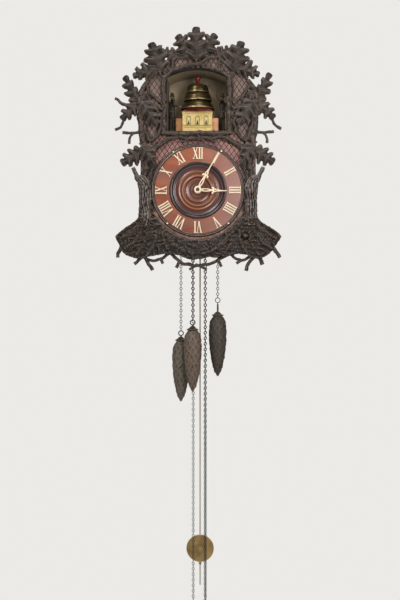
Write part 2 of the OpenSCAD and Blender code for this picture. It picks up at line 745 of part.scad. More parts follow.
module glyph(c) {
    serif = 1.4;
    if (c == "I") {
        stroke(0, 0, thick);
    } else {
        stroke(c == "V" ? 0.6 : 5, -5, thick);
        stroke(c == "V" ? 0.6 : -5, 5, thin);
    }
    for (x = c == "I" ? [0] : [-5, 5]) translate([x - 3.2, numeral_h - serif]) square([6.4, serif]);
    for (x = c == "I" ? [0] : c == "X" ? [-5, 5] : []) translate([x - 3.2, 0]) square([6.4, serif]);
}

module numerals() {
    inset = 2;
    pin_r = 2.2;
    color(bone) {
        for (h = [0 : 11]) facing(0, dial_y, dial_z) rotate([0, 0, -30 * h])
            translate([0, dial_r - inset - numeral_h, 0]) linear_extrude(1.6) {
                s = NUMERALS[h];
                for (i = [0 : len(s) - 1])
                    translate([text_w(s, i) + glyph_w(s[i]) / 2 - text_w(s, len(s)) / 2, 0]) glyph(s[i]);
            }
        for (a = [31.5, 137.7, 222.4, 327.3]) facing(0, board_y, dial_z) rotate([0, 0, -a])
            translate([0, dial_r + moulding_w * 0.5, dial_t + 4]) cylinder(r = pin_r, h = 4);
    }
}

module hand_outline(length, mark, wide) {
    tip = 0.6;
    difference() {
        union() {
            circle(r = 9);
            polygon([[-2.4, 5], [2.4, 5], [1.5, mark - 9], [wide, mark - 4],
                [wide * 0.72, mark + 1], [2, mark + 12],
                [1.7, mark + 15], [tip, length], [-tip, length], [-1.7, mark + 15], [-2, mark + 12],
                [-wide * 0.72, mark + 1], [-wide, mark - 4], [-1.5, mark - 9]]);
        }
        polygon([[-wide * 0.45, mark - 2.5], [wide * 0.45, mark - 2.5], [0, mark + 7]]);
    }
}

module minute_hand() {
    hub = 5;
    color(bone) facing(0, minute_hand_y, dial_z) difference() {
        union() {
            rotate([0, 0, -minute_angle]) linear_extrude(hand_t) hand_outline(minute_len, 46, 7);
            translate([0, 0, -0.8]) cylinder(r = hub, h = hand_t + 1.8);
        }
        translate([0, 0, -2]) cylinder(r = centre_arbor_r, h = hand_t + 6);
    }
}

module hour_hand() {
    color(bone) facing(0, hour_hand_y, dial_z) rotate([0, 0, -hour_angle]) linear_extrude(hand_t) difference() {
        hand_outline(hour_len, 44, 7);
        circle(r = hour_pipe_r);
    }
}

// Stage figures and bells

module chapel() {
    z = niche_floor_z;
    wing_w = 18;
    color(chapel_paint) difference() {
        translate([chapel_x - chapel_half_w, chapel_front_y, z])
            cube([2 * chapel_half_w, chapel_depth, chapel_h]);
        for (x = [-23, 0, 23]) facing(chapel_x + x, chapel_front_y + 3, 0) {
            translate([-5, z + 24, 0]) cube([10, 16, 10]);
            translate([0, z + 40, 0]) cylinder(r = 5, h = 10);
        }
    }
    color([0.72, 0.40, 0.22]) {
        translate([chapel_x - chapel_half_w - wing_w, chapel_front_y + 5, z]) cube([wing_w, 34, 40]);
        translate([chapel_x + chapel_half_w, chapel_front_y + 5, z]) cube([wing_w - 2, 34, 40]);
    }
    color(roof_red) difference() {
        translate([chapel_x - chapel_half_w - 3, chapel_front_y - 3, chapel_top_z])
            cube([2 * chapel_half_w + 6, chapel_depth + 6, chapel_roof_t]);
        translate([chapel_x, bell_y, chapel_top_z - 1]) cylinder(r = spindle_r, h = chapel_roof_t + 2);
    }
}

module bell_spindle() {
    top = finial_z - finial_r * 0.8;
    color(roof_red) union() {
        translate([chapel_x, bell_y, chapel_top_z]) cylinder(r = spindle_r, h = top - chapel_top_z);
        translate([chapel_x, bell_y, finial_z]) sphere(r = finial_r);
        translate([chapel_x, bell_y, bell_rim_z + 2 * bell_step_z + bell_h + 0.2]) cylinder(r = 4.6, h = 7);
        for (i = [0 : 1]) translate([chapel_x, bell_y, bell_rim_z + i * bell_step_z + bell_h])
            cylinder(r = 4, h = bell_step_z - bell_wall);
        translate([chapel_x, bell_y, chapel_top_z + chapel_roof_t])
            cylinder(r = 4, h = bell_rim_z + bell_h - bell_wall - chapel_top_z - chapel_roof_t);
    }
}

function bell_curve(r, h) = [
    [r, 0], [r - 0.5, 1.6], [r * 0.955, 4], [r * 0.90, h * 0.36], [r * 0.84, h * 0.62],
    [r * 0.72, h * 0.84], [r * 0.5, h * 0.96], [r * 0.3, h],
];

module bell(r, rim_z) {
    outer = bell_curve(r, bell_h);
    inner = bell_curve(r - bell_wall, bell_h - bell_wall);
    color(bell_metal) translate([chapel_x, bell_y, rim_z]) rotate_extrude($fn = 96) polygon(concat(
        outer, [[spindle_r + 0.1, bell_h], [spindle_r + 0.1, bell_h - bell_wall]],
        [for (i = [len(inner) - 1 : -1 : 0]) inner[i]]
    ));
}

module bell_large() { bell(bell_r, bell_rim_z); }
module bell_middle() { bell(bell_r - 6.5, bell_rim_z + bell_step_z); }
module bell_small() { bell(bell_r - 14, bell_rim_z + 2 * bell_step_z); }

function left_wire_x() = left_figure_p[0] + 5 - crank_reach;
function right_wire_x() = right_figure_p[0] - 3 + crank_reach;
function shoulder_z() = niche_floor_z + mound_h + shoulder_h;

// A standing bell ringer: coat, belt, collar, head and hat as one turning, with legs and boots
module figure(x, y, pivot_x) {
    h = figure_h;
    leg_h = h * 0.42;
    z = niche_floor_z + mound_h;
    color(figure_paint) difference() {
        union() {
            for (s = [-1, 1]) {
                translate([x + 3.9 * s, y, z]) cylinder(r = 2.9, h = leg_h + 2);
                translate([x + 3.9 * s, y - 2.5, z]) cylinder(r = 3.2, h = 4);
            }
            translate([x, y, z + leg_h]) rotate_extrude() polygon([
                [0, -3], [8.4, -3], [8, h * 0.05], [6.6, h * 0.14], [7.4, h * 0.24], [8.6, h * 0.36],
                [7.6, h * 0.40], [3, h * 0.425], [3, h * 0.44], [5.6, h * 0.46], [6.4, h * 0.49],
                [6, h * 0.53], [8.4, h * 0.535], [8.4, h * 0.545], [5, h * 0.55], [4.4, h * 0.58], [0, h * 0.58],
            ]);
        }
        facing(pivot_x, y + 20, shoulder_z()) cylinder(r = arm_pivot_r + run_gap, h = 40);
    }
}

module figure_left() { figure(left_figure_p[0], left_body_y, left_figure_p[0] + 5); }
module figure_right() { figure(right_figure_p[0], right_body_y, right_figure_p[0] - 3); }

// Arm with hammer: offsets from the shoulder pivot in x and z
module ringer_arm(pivot_x, arm_y, crank_dir, elbow, hand, head) {
    z = shoulder_z();
    color(figure_paint) union() {
        bar_y([pivot_x, z], arm_y - 3, crank_y + 2, arm_pivot_r);
        tube([[pivot_x, arm_y, z, 3.4], [pivot_x + elbow[0], arm_y, z + elbow[1], 2.9],
            [pivot_x + hand[0], arm_y, z + hand[1], 2.4]], 8, 3);
        translate([pivot_x + hand[0], arm_y, z + hand[1]])
            rotate([0, atan2(head[0] - hand[0], head[1] - hand[1]), 0])
            cylinder(r = 0.9, h = norm(head - hand));
        facing(pivot_x + head[0], arm_y + 4, z + head[1]) cylinder(r = hammer_r, h = 8);
        facing(0, crank_y + 1.5, 0) linear_extrude(1.5)
            polygon([[pivot_x, z - 1.6], [pivot_x + crank_dir * (crank_reach + 1.4), z - 1.2],
                [pivot_x + crank_dir * (crank_reach + 1.4), z + 1.2], [pivot_x, z + 1.6]]);
        bar_y([pivot_x + crank_dir * crank_reach, z], crank_y - 3, crank_y + 1, 0.7);
    }
}

// Width of a bell at a hammer's back end, seen from the front
function bell_reach(r, arm_y) = sqrt(pow(r + hammer_gap, 2) - pow(bell_y - arm_y - 4, 2));

module figure_left_arm() {
    pivot_x = left_figure_p[0] + 5;
    head_x = chapel_x - bell_reach(bell_r * 0.955, left_arm_y) - hammer_r;
    ringer_arm(pivot_x, left_arm_y, -1, [2, -12], [13, -16], [head_x - pivot_x, -17]);
}

module figure_right_arm() {
    pivot_x = right_figure_p[0] - 3;
    head_x = chapel_x + bell_reach((bell_r - 14) * 0.72, right_arm_y) + 0.82 * hammer_r;
    ringer_arm(pivot_x, right_arm_y, 1, [-9, 6], [-13, 22], [head_x - pivot_x, 43.6]);
}

// A pull wire from a crank to a foot that stands just clear of its pin wheel; s is the side
module lift_wire(x, s, pin_x) {
    z = shoulder_z();
    foot_z = strike_pin_p[1];
    foot_x = s * (abs(pin_x) + pin_disc_r + 4);
    tip_x = s * (abs(pin_x) + pin_circle_r + lift_pin_r + 0.8);
    color(steel) union() {
        facing(x, wire_y, z) rotate_extrude() translate([wire_ring_r, 0]) circle(r = 0.6);
        translate([x, wire_y, foot_z]) cylinder(r = wire_r, h = z - wire_ring_r - foot_z);
        translate([min(x, foot_x) - 0.9, wire_y - 0.9, foot_z - 1]) cube([abs(foot_x - x) + 1.8, 1.8, 2]);
        translate([foot_x - 0.9, side_pin_y - 7, foot_z - 1]) cube([1.8, wire_y - side_pin_y + 7.9, 2]);
        translate([min(tip_x, foot_x), side_pin_y - 7, foot_z - 1]) cube([abs(foot_x - tip_x), 3.6, 2]);
    }
}

module lift_wire_left() { lift_wire(left_wire_x(), -1, automaton_pin_p[0]); }
module lift_wire_right() { lift_wire(right_wire_x(), 1, strike_pin_p[0]); }

// Movement

// A toothed wheel in its own plane, with tooth zero centred on angle a
module gear(teeth, m, t, a) {
    r = teeth * m / 2;
    pitch = 360 / teeth;
    root = r - 1.25 * m;
    tip = r + 0.85 * m;
    rotate([0, 0, a]) linear_extrude(t) polygon([for (i = [0 : teeth - 1])
        each [polar(root, (i - 0.29) * pitch), polar(tip, (i - 0.10) * pitch),
            polar(tip, (i + 0.10) * pitch), polar(root, (i + 0.29) * pitch)]]);
}

// Arbor between the plates, with a thinner pivot in each
module arbor(p, r = arbor_r) {
    bar_y(p, front_inner_y + joint_gap, back_inner_y - joint_gap, r);
    bar_y(p, front_inner_y - plate_t + 0.2, back_inner_y + plate_t - 0.2, pivot_r);
}

module pivot_holes(y, list) {
    for (p = list) facing(p[0], y + plate_t + 1, p[1]) cylinder(r = pivot_r + run_gap, h = plate_t + 2);
}

module plate(y) {
    facing(0, y + plate_t, 0) linear_extrude(plate_t)
        translate([-plate_half_w, plate_bottom_z]) square([2 * plate_half_w, plate_top_z - plate_bottom_z]);
}

train_spots = [time_p, strike_p, automaton_p, strike_pin_p, automaton_pin_p, third_p, escape_p];
pillar_spots = [for (s = [-1, 1]) each [[s * (plate_half_w - 7), plate_bottom_z + 9],
    [s * (plate_half_w - 20), plate_top_z - 9]]];

module front_plate() {
    color(brass) difference() {
        union() {
            plate(front_plate_y);
            bar_y(minute_p, front_plate_y - 15, front_plate_y + 1, 1.5);
        }
        pivot_holes(front_plate_y, train_spots);
        pivot_holes(front_plate_y, [pivot_p]);
        facing(0, front_plate_y + plate_t + 1, dial_z) cylinder(r = centre_arbor_r + run_gap, h = plate_t + 2);
    }
}

module back_plate() {
    arm_z = plate_top_z - 12;
    color(brass) difference() {
        union() {
            plate(back_inner_y);
            for (p = pillar_spots) bar_y(p, front_inner_y, back_inner_y + 1, pillar_r);
            translate([-9, back_inner_y, arm_z]) cube([18, pendulum_y + 6 - back_inner_y, 4]);
            translate([-9, pendulum_y + 4, pivot_p[1] - 4]) cube([18, 3, arm_z - pivot_p[1] + 8]);
            bar_y(pivot_p, pendulum_y - 4, pendulum_y + 5, 1.5);
        }
        pivot_holes(back_inner_y, train_spots);
        pivot_holes(back_inner_y, [centre_p]);
        facing(0, back_plate_y + 1, pivot_p[1]) cylinder(r = 1.5 + run_gap, h = plate_t + 2);
    }
}

// A grooved wheel that carries the chain, centred on depth y
module chain_wheel(p, y) {
    half = link_w / 2 + 0.7;
    facing(p[0], y, p[1]) rotate_extrude() polygon([
        [0, -half - 1.2], [chain_r + 1.5, -half - 1.2], [chain_r + 1.5, -half], [chain_inner_r + 1, -half],
        [chain_inner_r, -half + 1], [chain_inner_r, half - 1], [chain_inner_r + 1, half],
        [chain_r + 1.5, half], [chain_r + 1.5, half + 1.2], [0, half + 1.2],
    ]);
}

module time_great_wheel() {
    color(brass) facing(time_p[0], time_wheel_y + wheel_t, time_p[1]) gear(great_teeth, great_m, wheel_t, 90);
    color(steel) arbor(time_p);
}

module time_chain_wheel() {
    color(brass) difference() {
        union() {
            chain_wheel(time_p, middle_y);
            bar_y(time_p, middle_y - 8.2, middle_y + 9, 5);
        }
        facing(time_p[0], middle_y + 12, time_p[1]) cylinder(r = arbor_r + run_gap, h = 24);
    }
}

module centre_wheel() {
    wheel_phase = phase(90, great_teeth, 90, centre_pinion_teeth);
    color(brass) facing(0, centre_wheel_y + wheel_t, dial_z) gear(centre_teeth, centre_m, wheel_t, third_angle);
    color(steel) union() {
        facing(0, time_wheel_y + wheel_t + 2, dial_z)
            gear(centre_pinion_teeth, great_m, wheel_t + 4, wheel_phase);
        bar_y(centre_p, minute_hand_y - hand_t - 2, back_inner_y - joint_gap, centre_arbor_r);
        bar_y(centre_p, back_inner_y - 2, back_plate_y - 0.2, pivot_r);
        facing(0, cannon_y, dial_z) gear(cannon_teeth, minute_m, motion_t, motion_angle);
        bar_y(centre_p, hour_hand_y - 2.6, front_plate_y - 0.4, 3.2);
    }
}

module third_wheel() {
    color(brass) facing(third_p[0], third_wheel_y + wheel_t, third_p[1])
        gear(third_teeth, third_m, wheel_t, escape_angle);
    color(steel) union() {
        arbor(third_p, 1.5);
        facing(third_p[0], centre_wheel_y + wheel_t + 2, third_p[1])
            gear(fine_pinion_teeth, centre_m, wheel_t + 4,
                phase(third_angle, centre_teeth, third_angle, fine_pinion_teeth));
    }
}

module escape_wheel() {
    pitch = 360 / escape_teeth;
    root = escape_r - 4;
    color(brass) facing(escape_p[0], escape_wheel_y + 2, escape_p[1]) linear_extrude(2)
        polygon([for (i = [0 : escape_teeth - 1]) each [
            polar(root, (i - 0.1) * pitch), polar(root, i * pitch + 7.6),
            polar(escape_r, i * pitch + 8.6), polar(escape_r, i * pitch + 9.4)]]);
    color(steel) union() {
        arbor(escape_p, 1.5);
        facing(escape_p[0], third_wheel_y + wheel_t + 2, escape_p[1])
            gear(fine_pinion_teeth, third_m, wheel_t + 4,
                phase(escape_angle, third_teeth, escape_angle, fine_pinion_teeth));
    }
}

module anchor() {
    z = pivot_p[1];
    reach = 15.5;
    nib = escape_r + 1.1;
    crutch_len = 62;
    color(steel) union() {
        bar_y(pivot_p, front_inner_y + joint_gap, back_inner_y - joint_gap, 1.5);
        bar_y(pivot_p, front_plate_y + 0.2, front_inner_y + 1, pivot_r);
        bar_y(pivot_p, back_inner_y - 1, pendulum_y - 12, 1.5);
        facing(0, escape_wheel_y + 2.5, 0) linear_extrude(3) union() {
            polygon([[-reach - 2, z - 12], [-reach + 1, z - 13], [-9, z - 3], [9, z - 3], [reach - 1, z - 13],
                [reach + 2, z - 12], [11, z + 3], [0, z + 5], [-11, z + 3]]);
            polygon([[-nib - 2, escape_p[1] + 4], [-nib, escape_p[1] + 4],
                [-reach + 1, z - 12], [-reach - 2, z - 12]]);
            polygon([[nib + 2, escape_p[1] + 4], [nib, escape_p[1] + 4],
                [reach - 1, z - 12], [reach + 2, z - 12]]);
        }
        facing(0, pendulum_y - 12, 0) linear_extrude(1.6)
            polygon([[-2.4, z + 3], [2.4, z + 3], [1.6, z - crutch_len], [-1.6, z - crutch_len]]);
        for (s = [-1, 1]) bar_y([s * (rod_r + 1.4), z - crutch_len + 2], pendulum_y - 13, pendulum_y + 4, 0.9);
        translate([-rod_r - 2.3, pendulum_y - 13.6, z - crutch_len + 1]) cube([2 * rod_r + 4.6, 1.6, 2]);
    }
}

module minute_wheel() {
    wheel_phase = phase(motion_angle, cannon_teeth, motion_angle, minute_wheel_teeth);
    color(brass) facing(minute_p[0], cannon_y, minute_p[1]) difference() {
        union() {
            gear(minute_wheel_teeth, minute_m, motion_t, wheel_phase);
            translate([0, 0, motion_t - 0.2]) gear(minute_pinion_teeth, hour_m, 6, motion_angle + 180);
        }
        translate([0, 0, -1]) cylinder(r = 1.5 + run_gap, h = 12);
    }
}

module hour_wheel() {
    color(brass) difference() {
        union() {
            facing(0, hour_wheel_y, dial_z) gear(hour_teeth, hour_m, motion_t,
                phase(motion_angle + 180, minute_pinion_teeth, motion_angle + 180, hour_teeth));
            bar_y(centre_p, hour_hand_y - hand_t, hour_wheel_y, hour_pipe_r);
        }
        facing(0, hour_wheel_y + 2, dial_z) cylinder(r = 3.2 + run_gap, h = 60);
    }
}

// A great wheel with its chain wheel on one arbor
module side_great_wheel(p, toward) {
    color(brass) union() {
        facing(p[0], side_great_y, p[1]) gear(great_teeth, great_m, wheel_t - 1, toward);
        chain_wheel(p, outer_y);
        bar_y(p, side_great_y - 3, outer_y + 8, 5);
    }
    color(steel) arbor(p);
}

module strike_great_wheel() { side_great_wheel(strike_p, second_angle); }
module automaton_great_wheel() { side_great_wheel(automaton_p, 180 - second_angle); }

// A disc of lifting pins, driven by a great wheel
module pin_wheel(p, toward) {
    pins = 8;
    color(brass) facing(p[0], side_pin_y, p[1]) {
        cylinder(r = pin_disc_r, h = 2);
        for (i = [0 : pins - 1]) rotate([0, 0, 360 * (i + 0.5) / pins]) translate([pin_circle_r, 0, 1])
            cylinder(r = lift_pin_r, h = 7);
    }
    color(steel) union() {
        arbor(p);
        facing(p[0], side_great_y + 2, p[1])
            gear(second_pinion_teeth, great_m, 7, phase(toward, great_teeth, toward, second_pinion_teeth));
    }
}

module strike_pin_wheel() { pin_wheel(strike_pin_p, second_angle); }
module automaton_pin_wheel() { pin_wheel(automaton_pin_p, 180 - second_angle); }

// Chains and weights

module oval(r) {
    straight = link_half - link_bend_r;
    for (s = [-1, 1]) translate([0, s * straight]) circle(r);
    translate([-r, -straight]) square([2 * r, 2 * straight]);
}

// One link along z, centred on the origin: flat links lie across x, the others across y
module link(flat) {
    rotate([90, 0, flat ? 0 : 90]) linear_extrude(chain_wire, center = true) difference() {
        oval(link_w / 2);
        oval(link_w / 2 - chain_wire);
    }
}

module chain_run(x, y, links) {
    color(chain_metal) for (k = [0 : links - 1])
        translate([x, y, time_p[1] - (k + 0.5) * chain_pitch]) link(k % 2 == 1);
}

// Height of the wire ring that hangs in the last link of a run
function end_ring_z(links, r, wire) =
    time_p[1] - (links - 0.5) * chain_pitch - link_half + chain_wire / 2 + wire + link_slack - r;

module wire_ring(x, y, z, r, wire) {
    translate([x, y, z]) rotate([90, 0, 0]) rotate_extrude() translate([r, 0]) circle(r = wire);
}

module free_chain(x, y, links) {
    end_r = 8;
    chain_run(x, y, links);
    color(chain_metal) wire_ring(x, y, end_ring_z(links, end_r, 1), end_r, 1);
}

weight_ring_r = 6.4;
weight_wire = 1;
cone_profile = [
    [0, 0], [7.5, 0], [9.5, 2.5], [12.5, 7], [13.8, 9.5], [13.8, 11.5], [12.6, 13], [16.8, 19], [19.8, 28],
    [21.6, 39], [22.4, 55], [22.2, 75], [20.6, 99], [17.6, 123], [13.6, 145], [9.6, 160], [5.2, 169], [1.6, 173],
    [0, 173],
];

// A cast pine cone with its cap and ring; drop lengthens the hook between them
module weight(x, y, links, drop) {
    ring_z = end_ring_z(links, weight_ring_r, weight_wire);
    cap_z = ring_z - weight_ring_r - drop;
    color(iron) union() {
        translate([x, y, cap_z]) rotate_extrude()
            polygon([for (p = cone_profile) [p[0] * cone_r / 22.4, -p[1] * cone_len / 173]]);
        wire_ring(x, y, ring_z, weight_ring_r, weight_wire);
        translate([x, y, cap_z - 2]) cylinder(r = 2, h = drop + 2.6);
    }
}

module weight_left() { weight(automaton_p[0] - chain_r, outer_y, left_links, 2.5); }
module weight_middle() { weight(time_p[0] - chain_r, middle_y, middle_links, 2.5); }
module weight_right() { weight(strike_p[0] + chain_r, outer_y, right_links, 24); }
module chain_left() { chain_run(automaton_p[0] - chain_r, outer_y, left_links); }
module chain_middle() { chain_run(time_p[0] - chain_r, middle_y, middle_links); }
module chain_right() { chain_run(strike_p[0] + chain_r, outer_y, right_links); }
module free_chain_left() { free_chain(automaton_p[0] + chain_r, outer_y, chain_links - left_links); }
module free_chain_middle() { free_chain(time_p[0] + chain_r, middle_y, chain_links - middle_links); }
module free_chain_right() { free_chain(strike_p[0] - chain_r, outer_y, chain_links - right_links); }

module chain_wraps() {
    color(chain_metal) for (w = [[automaton_p, outer_y], [time_p, middle_y], [strike_p, outer_y]])
        translate([w[0][0], w[1], w[0][1]]) for (j = [0 : wrap_links - 1])
            rotate([0, -(j + 0.5) * 180 / wrap_links, 0]) translate([chain_r, 0, 0]) link(j % 2 == 0);
}

// Pendulum

module pendulum_rod() {
    eye_r = 1.5 + run_gap;
    color([0.72, 0.68, 0.60]) difference() {
        union() {
            facing(0, pendulum_y + 2.6, pivot_p[1]) cylinder(r = 5, h = 5.2);
            translate([0, pendulum_y, pivot_p[1] - pendulum_len - rod_tail])
                cylinder(r = rod_r, h = pendulum_len + rod_tail - 4);
        }
        facing(0, pendulum_y + 3, pivot_p[1]) cylinder(r = eye_r, h = 6);
    }
}

module pendulum_bob() {
    half = bob_t / 2;
    color(brass) translate([0, pendulum_y, pivot_p[1] - pendulum_len]) difference() {
        rotate([90, 0, 0]) rotate_extrude($fn = 96) polygon([
            [0, -half + 1], [bob_r * 0.7, -half + 2.2], [bob_r - 1, -1.2], [bob_r, -0.4], [bob_r, 0.4],
            [bob_r - 1, 1.2], [bob_r * 0.82, half - 3.4], [bob_r * 0.55, half - 1.2],
            [bob_r * 0.25, half - 0.2], [0, half],
        ]);
        translate([0, 0, -bob_r - 1]) cylinder(r = rod_r + run_gap, h = 2 * bob_r + 2);
    }
}

back_frame();
hanger_plate();
back_door();
door_hinges();
case_sides();
case_roof();
case_floor();
seat_board();
front_board();
stage_box();
niche_branches();
rail_branches();
crown_leaves();
leaves_left();
leaves_right();
trunks();
base_carving();
dial_ring();
dial_moulding();
dial_centre();
numerals();
minute_hand();
hour_hand();
chapel();
bell_spindle();
bell_large();
bell_middle();
bell_small();
figure_left();
figure_left_arm();
figure_right();
figure_right_arm();
lift_wire_left();
lift_wire_right();
front_plate();
back_plate();
time_great_wheel();
time_chain_wheel();
centre_wheel();
third_wheel();
escape_wheel();
anchor();
minute_wheel();
hour_wheel();
strike_great_wheel();
strike_pin_wheel();
automaton_great_wheel();
automaton_pin_wheel();
weight_left();
weight_middle();
weight_right();
chain_left();
chain_middle();
chain_right();
free_chain_left();
free_chain_middle();
free_chain_right();
chain_wraps();
pendulum_rod();
pendulum_bob();
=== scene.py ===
import math
import random

import bmesh
import bpy
import numpy as np
from mathutils import Matrix, Vector, noise

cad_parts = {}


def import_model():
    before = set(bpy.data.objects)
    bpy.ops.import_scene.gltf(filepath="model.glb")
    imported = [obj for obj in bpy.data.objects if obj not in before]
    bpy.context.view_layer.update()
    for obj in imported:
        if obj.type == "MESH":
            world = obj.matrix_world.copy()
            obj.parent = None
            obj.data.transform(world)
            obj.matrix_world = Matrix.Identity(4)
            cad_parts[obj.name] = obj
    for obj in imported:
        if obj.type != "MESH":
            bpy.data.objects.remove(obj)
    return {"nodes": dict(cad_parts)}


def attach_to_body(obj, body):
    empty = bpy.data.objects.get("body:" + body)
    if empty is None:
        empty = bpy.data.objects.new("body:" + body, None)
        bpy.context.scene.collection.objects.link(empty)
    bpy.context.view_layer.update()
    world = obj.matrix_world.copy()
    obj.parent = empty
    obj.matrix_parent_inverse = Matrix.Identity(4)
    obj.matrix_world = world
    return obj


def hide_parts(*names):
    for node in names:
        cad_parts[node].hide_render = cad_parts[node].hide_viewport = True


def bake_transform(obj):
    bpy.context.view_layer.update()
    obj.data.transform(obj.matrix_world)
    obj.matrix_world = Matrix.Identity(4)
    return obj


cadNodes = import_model()["nodes"]
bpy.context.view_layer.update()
mm = 0.001  # every length below is in millimetres of the shared frame
print("stage 1: frame loaded,", len(cadNodes), "nodes")

# Heights and depths that several pieces share
place = {
    "boardFront": -182.0, "archZ": -98.0, "boardR": 150.0, "caseBottom": -468.0, "dialZ": -313.0,
    "nicheX": -4.0, "nicheHalf": 77.0, "nicheFloor": -158.0, "nicheSide": -18.0, "nicheTop": 2.0,
    "railZ": -166.0, "timeZ": -349.0, "pivotZ": -254.593, "pendulumY": -40.0,
}
boardFront, dialZ = place["boardFront"], place["dialZ"]


# Points, paths and shells: a shell is (points in mm, faces, material index or one index for each face), and a
# carved one has a fourth item, the shade in its grooves from 0 to 1 at each point

def around(count):
    return np.linspace(0, 2 * math.pi, count + 1)[:-1]


def hump(distance, width):  # 1 in the middle, fading out with distance
    return math.exp(-(distance / width) ** 2)


def laid(rows, side, x, y, z):  # rows of (out, back, up, radius) from a spot, mirrored by side -1
    return [[x + side * out, y + back, z + up, r] for out, back, up, r in rows]


def splineThrough(points, steps):
    p = np.array(points, float)
    out = []
    for i in range(len(p) - 1):
        a, b, c, d = p[max(i - 1, 0)], p[i], p[i + 1], p[min(i + 2, len(p) - 1)]
        for s in range(steps):
            t = s / steps
            out.append(0.5 * (2 * b + (c - a) * t + (2 * a - 5 * b + 4 * c - d) * t ** 2
                              + (3 * b - a - 3 * c + d) * t ** 3))
    out.append(p[-1])
    return np.array(out)


def evenly(path, gap):  # the same path with points every gap mm
    steps = np.linalg.norm(np.diff(path[:, :3], axis=0), axis=1)
    along = np.concatenate([[0], np.cumsum(steps)])
    count = max(4, int(round(along[-1] / gap)) + 1)
    where = np.linspace(0, along[-1], count)
    return np.column_stack([np.interp(where, along, path[:, k]) for k in range(path.shape[1])]), where


def ringFrames(centres):
    tangents = np.gradient(centres, axis=0)
    tangents /= np.linalg.norm(tangents, axis=1)[:, None]
    u = np.cross([0.0, 1.0, 0.0], tangents)
    u /= np.maximum(np.linalg.norm(u, axis=1), 1e-9)[:, None]
    return tangents, u, np.cross(tangents, u)


def tubeFaces(rings, sides, closed=False):
    faces = []
    for i in range(rings if closed else rings - 1):
        a, b = i * sides, ((i + 1) % rings) * sides
        for k in range(sides):
            n = (k + 1) % sides
            faces.append([a + k, a + n, b + n, b + k])
    return faces


bark = {"knotGap": 26, "knotSize": (0.14, 0.34), "knotRing": 0.10, "bendWave": 0.055, "swayWave": 0.035,
        "sway": 2.2, "fleckWave": 0.16, "fleck": 0.11, "ribLean": 0.004, "ribWeight": 1.5,
        "ringAt": 1.5, "ringWidth": 0.35, "knotLong": 1.1, "knotWide": 0.75, "cutRings": ((0.86, 0.7), (0.50, 0.3)),
        "cutMiddle": 0.5, "cutShade": 0.2}


def barkBranch(points, seed, sides=22, gap=2.4, depth=0.12, gnarl=4.0):  # ribs, knots and two cut ends
    path, along = evenly(splineThrough(points, 12), gap)
    centres, radii, total = path[:, :3].copy(), path[:, 3], along[-1]
    draw = random.Random(seed)
    ribs = max(5, int(round(float(radii.mean()) * 0.75)) + 3)
    knots = [(draw.uniform(0.12, 0.88) * total, draw.uniform(0, 2 * math.pi), draw.uniform(*bark["knotSize"]))
             for _ in range(1 + int(total / bark["knotGap"]))]
    shift = draw.uniform(0, 100)
    for i, t in enumerate(along / total):
        bend = gnarl * min(1.0, total / 60) * math.sin(math.pi * t)
        for axis, layer in ((0, 3.0), (2, 9.0)):
            centres[i, axis] += bend * noise.noise((along[i] * bark["bendWave"], shift, layer))
    tangents, u, v = ringFrames(centres)
    verts, shade = [], []
    for i, c in enumerate(centres):
        sway = noise.noise((along[i] * bark["swayWave"], shift, 0.0)) * bark["sway"]
        for k in range(sides):
            a = 2 * math.pi * k / sides
            fleck = noise.noise((math.cos(a) * 1.6 + shift, math.sin(a) * 1.6, along[i] * bark["fleckWave"]))
            rib = 1 - abs(math.sin(0.5 * ribs * (a + bark["ribLean"] * along[i]) + sway + 0.9 * fleck)) ** 0.7
            r = 1 + depth * (0.45 - bark["ribWeight"] * rib) + bark["fleck"] * fleck
            for at, turn, lump in knots:  # a lump with a shallow ring around it
                apart = (a - turn + math.pi) % (2 * math.pi) - math.pi
                bump = ((along[i] - at) / (bark["knotLong"] * radii[i])) ** 2 + (apart / bark["knotWide"]) ** 2
                dip = hump(math.sqrt(bump) - bark["ringAt"], bark["ringWidth"])
                r += lump * math.exp(-bump) - bark["knotRing"] * dip
            verts.append(c + radii[i] * r * (math.cos(a) * u[i] + math.sin(a) * v[i]))
            shade.append(min(1.0, max(0.0, (1.05 - r) / 0.2)))
    faces = tubeFaces(len(centres), sides)
    slots = [0] * len(faces)
    for ring, way in ((0, -1), (len(centres) - 1, 1)):
        rims = [[ring * sides + k for k in range(sides)]]
        middle = centres[ring]
        for scale, out in bark["cutRings"]:
            start = len(verts)
            verts += [middle + (verts[k] - middle) * scale + tangents[ring] * way * out for k in rims[0]]
            rims.append([start + k for k in range(sides)])
        verts.append(middle + tangents[ring] * way * bark["cutMiddle"])
        added = [[a[k], a[(k + 1) % sides], b[(k + 1) % sides], b[k]]
                 for a, b in zip(rims, rims[1:]) for k in range(sides)]
        added += [[rims[-1][k], rims[-1][(k + 1) % sides], len(verts) - 1] for k in range(sides)]
        faces += [face[::way] for face in added]
        slots += [0] * sides + [1] * (2 * sides)
    return np.array(verts), faces, slots, np.array(shade + [bark["cutShade"]] * (len(verts) - len(shade)))


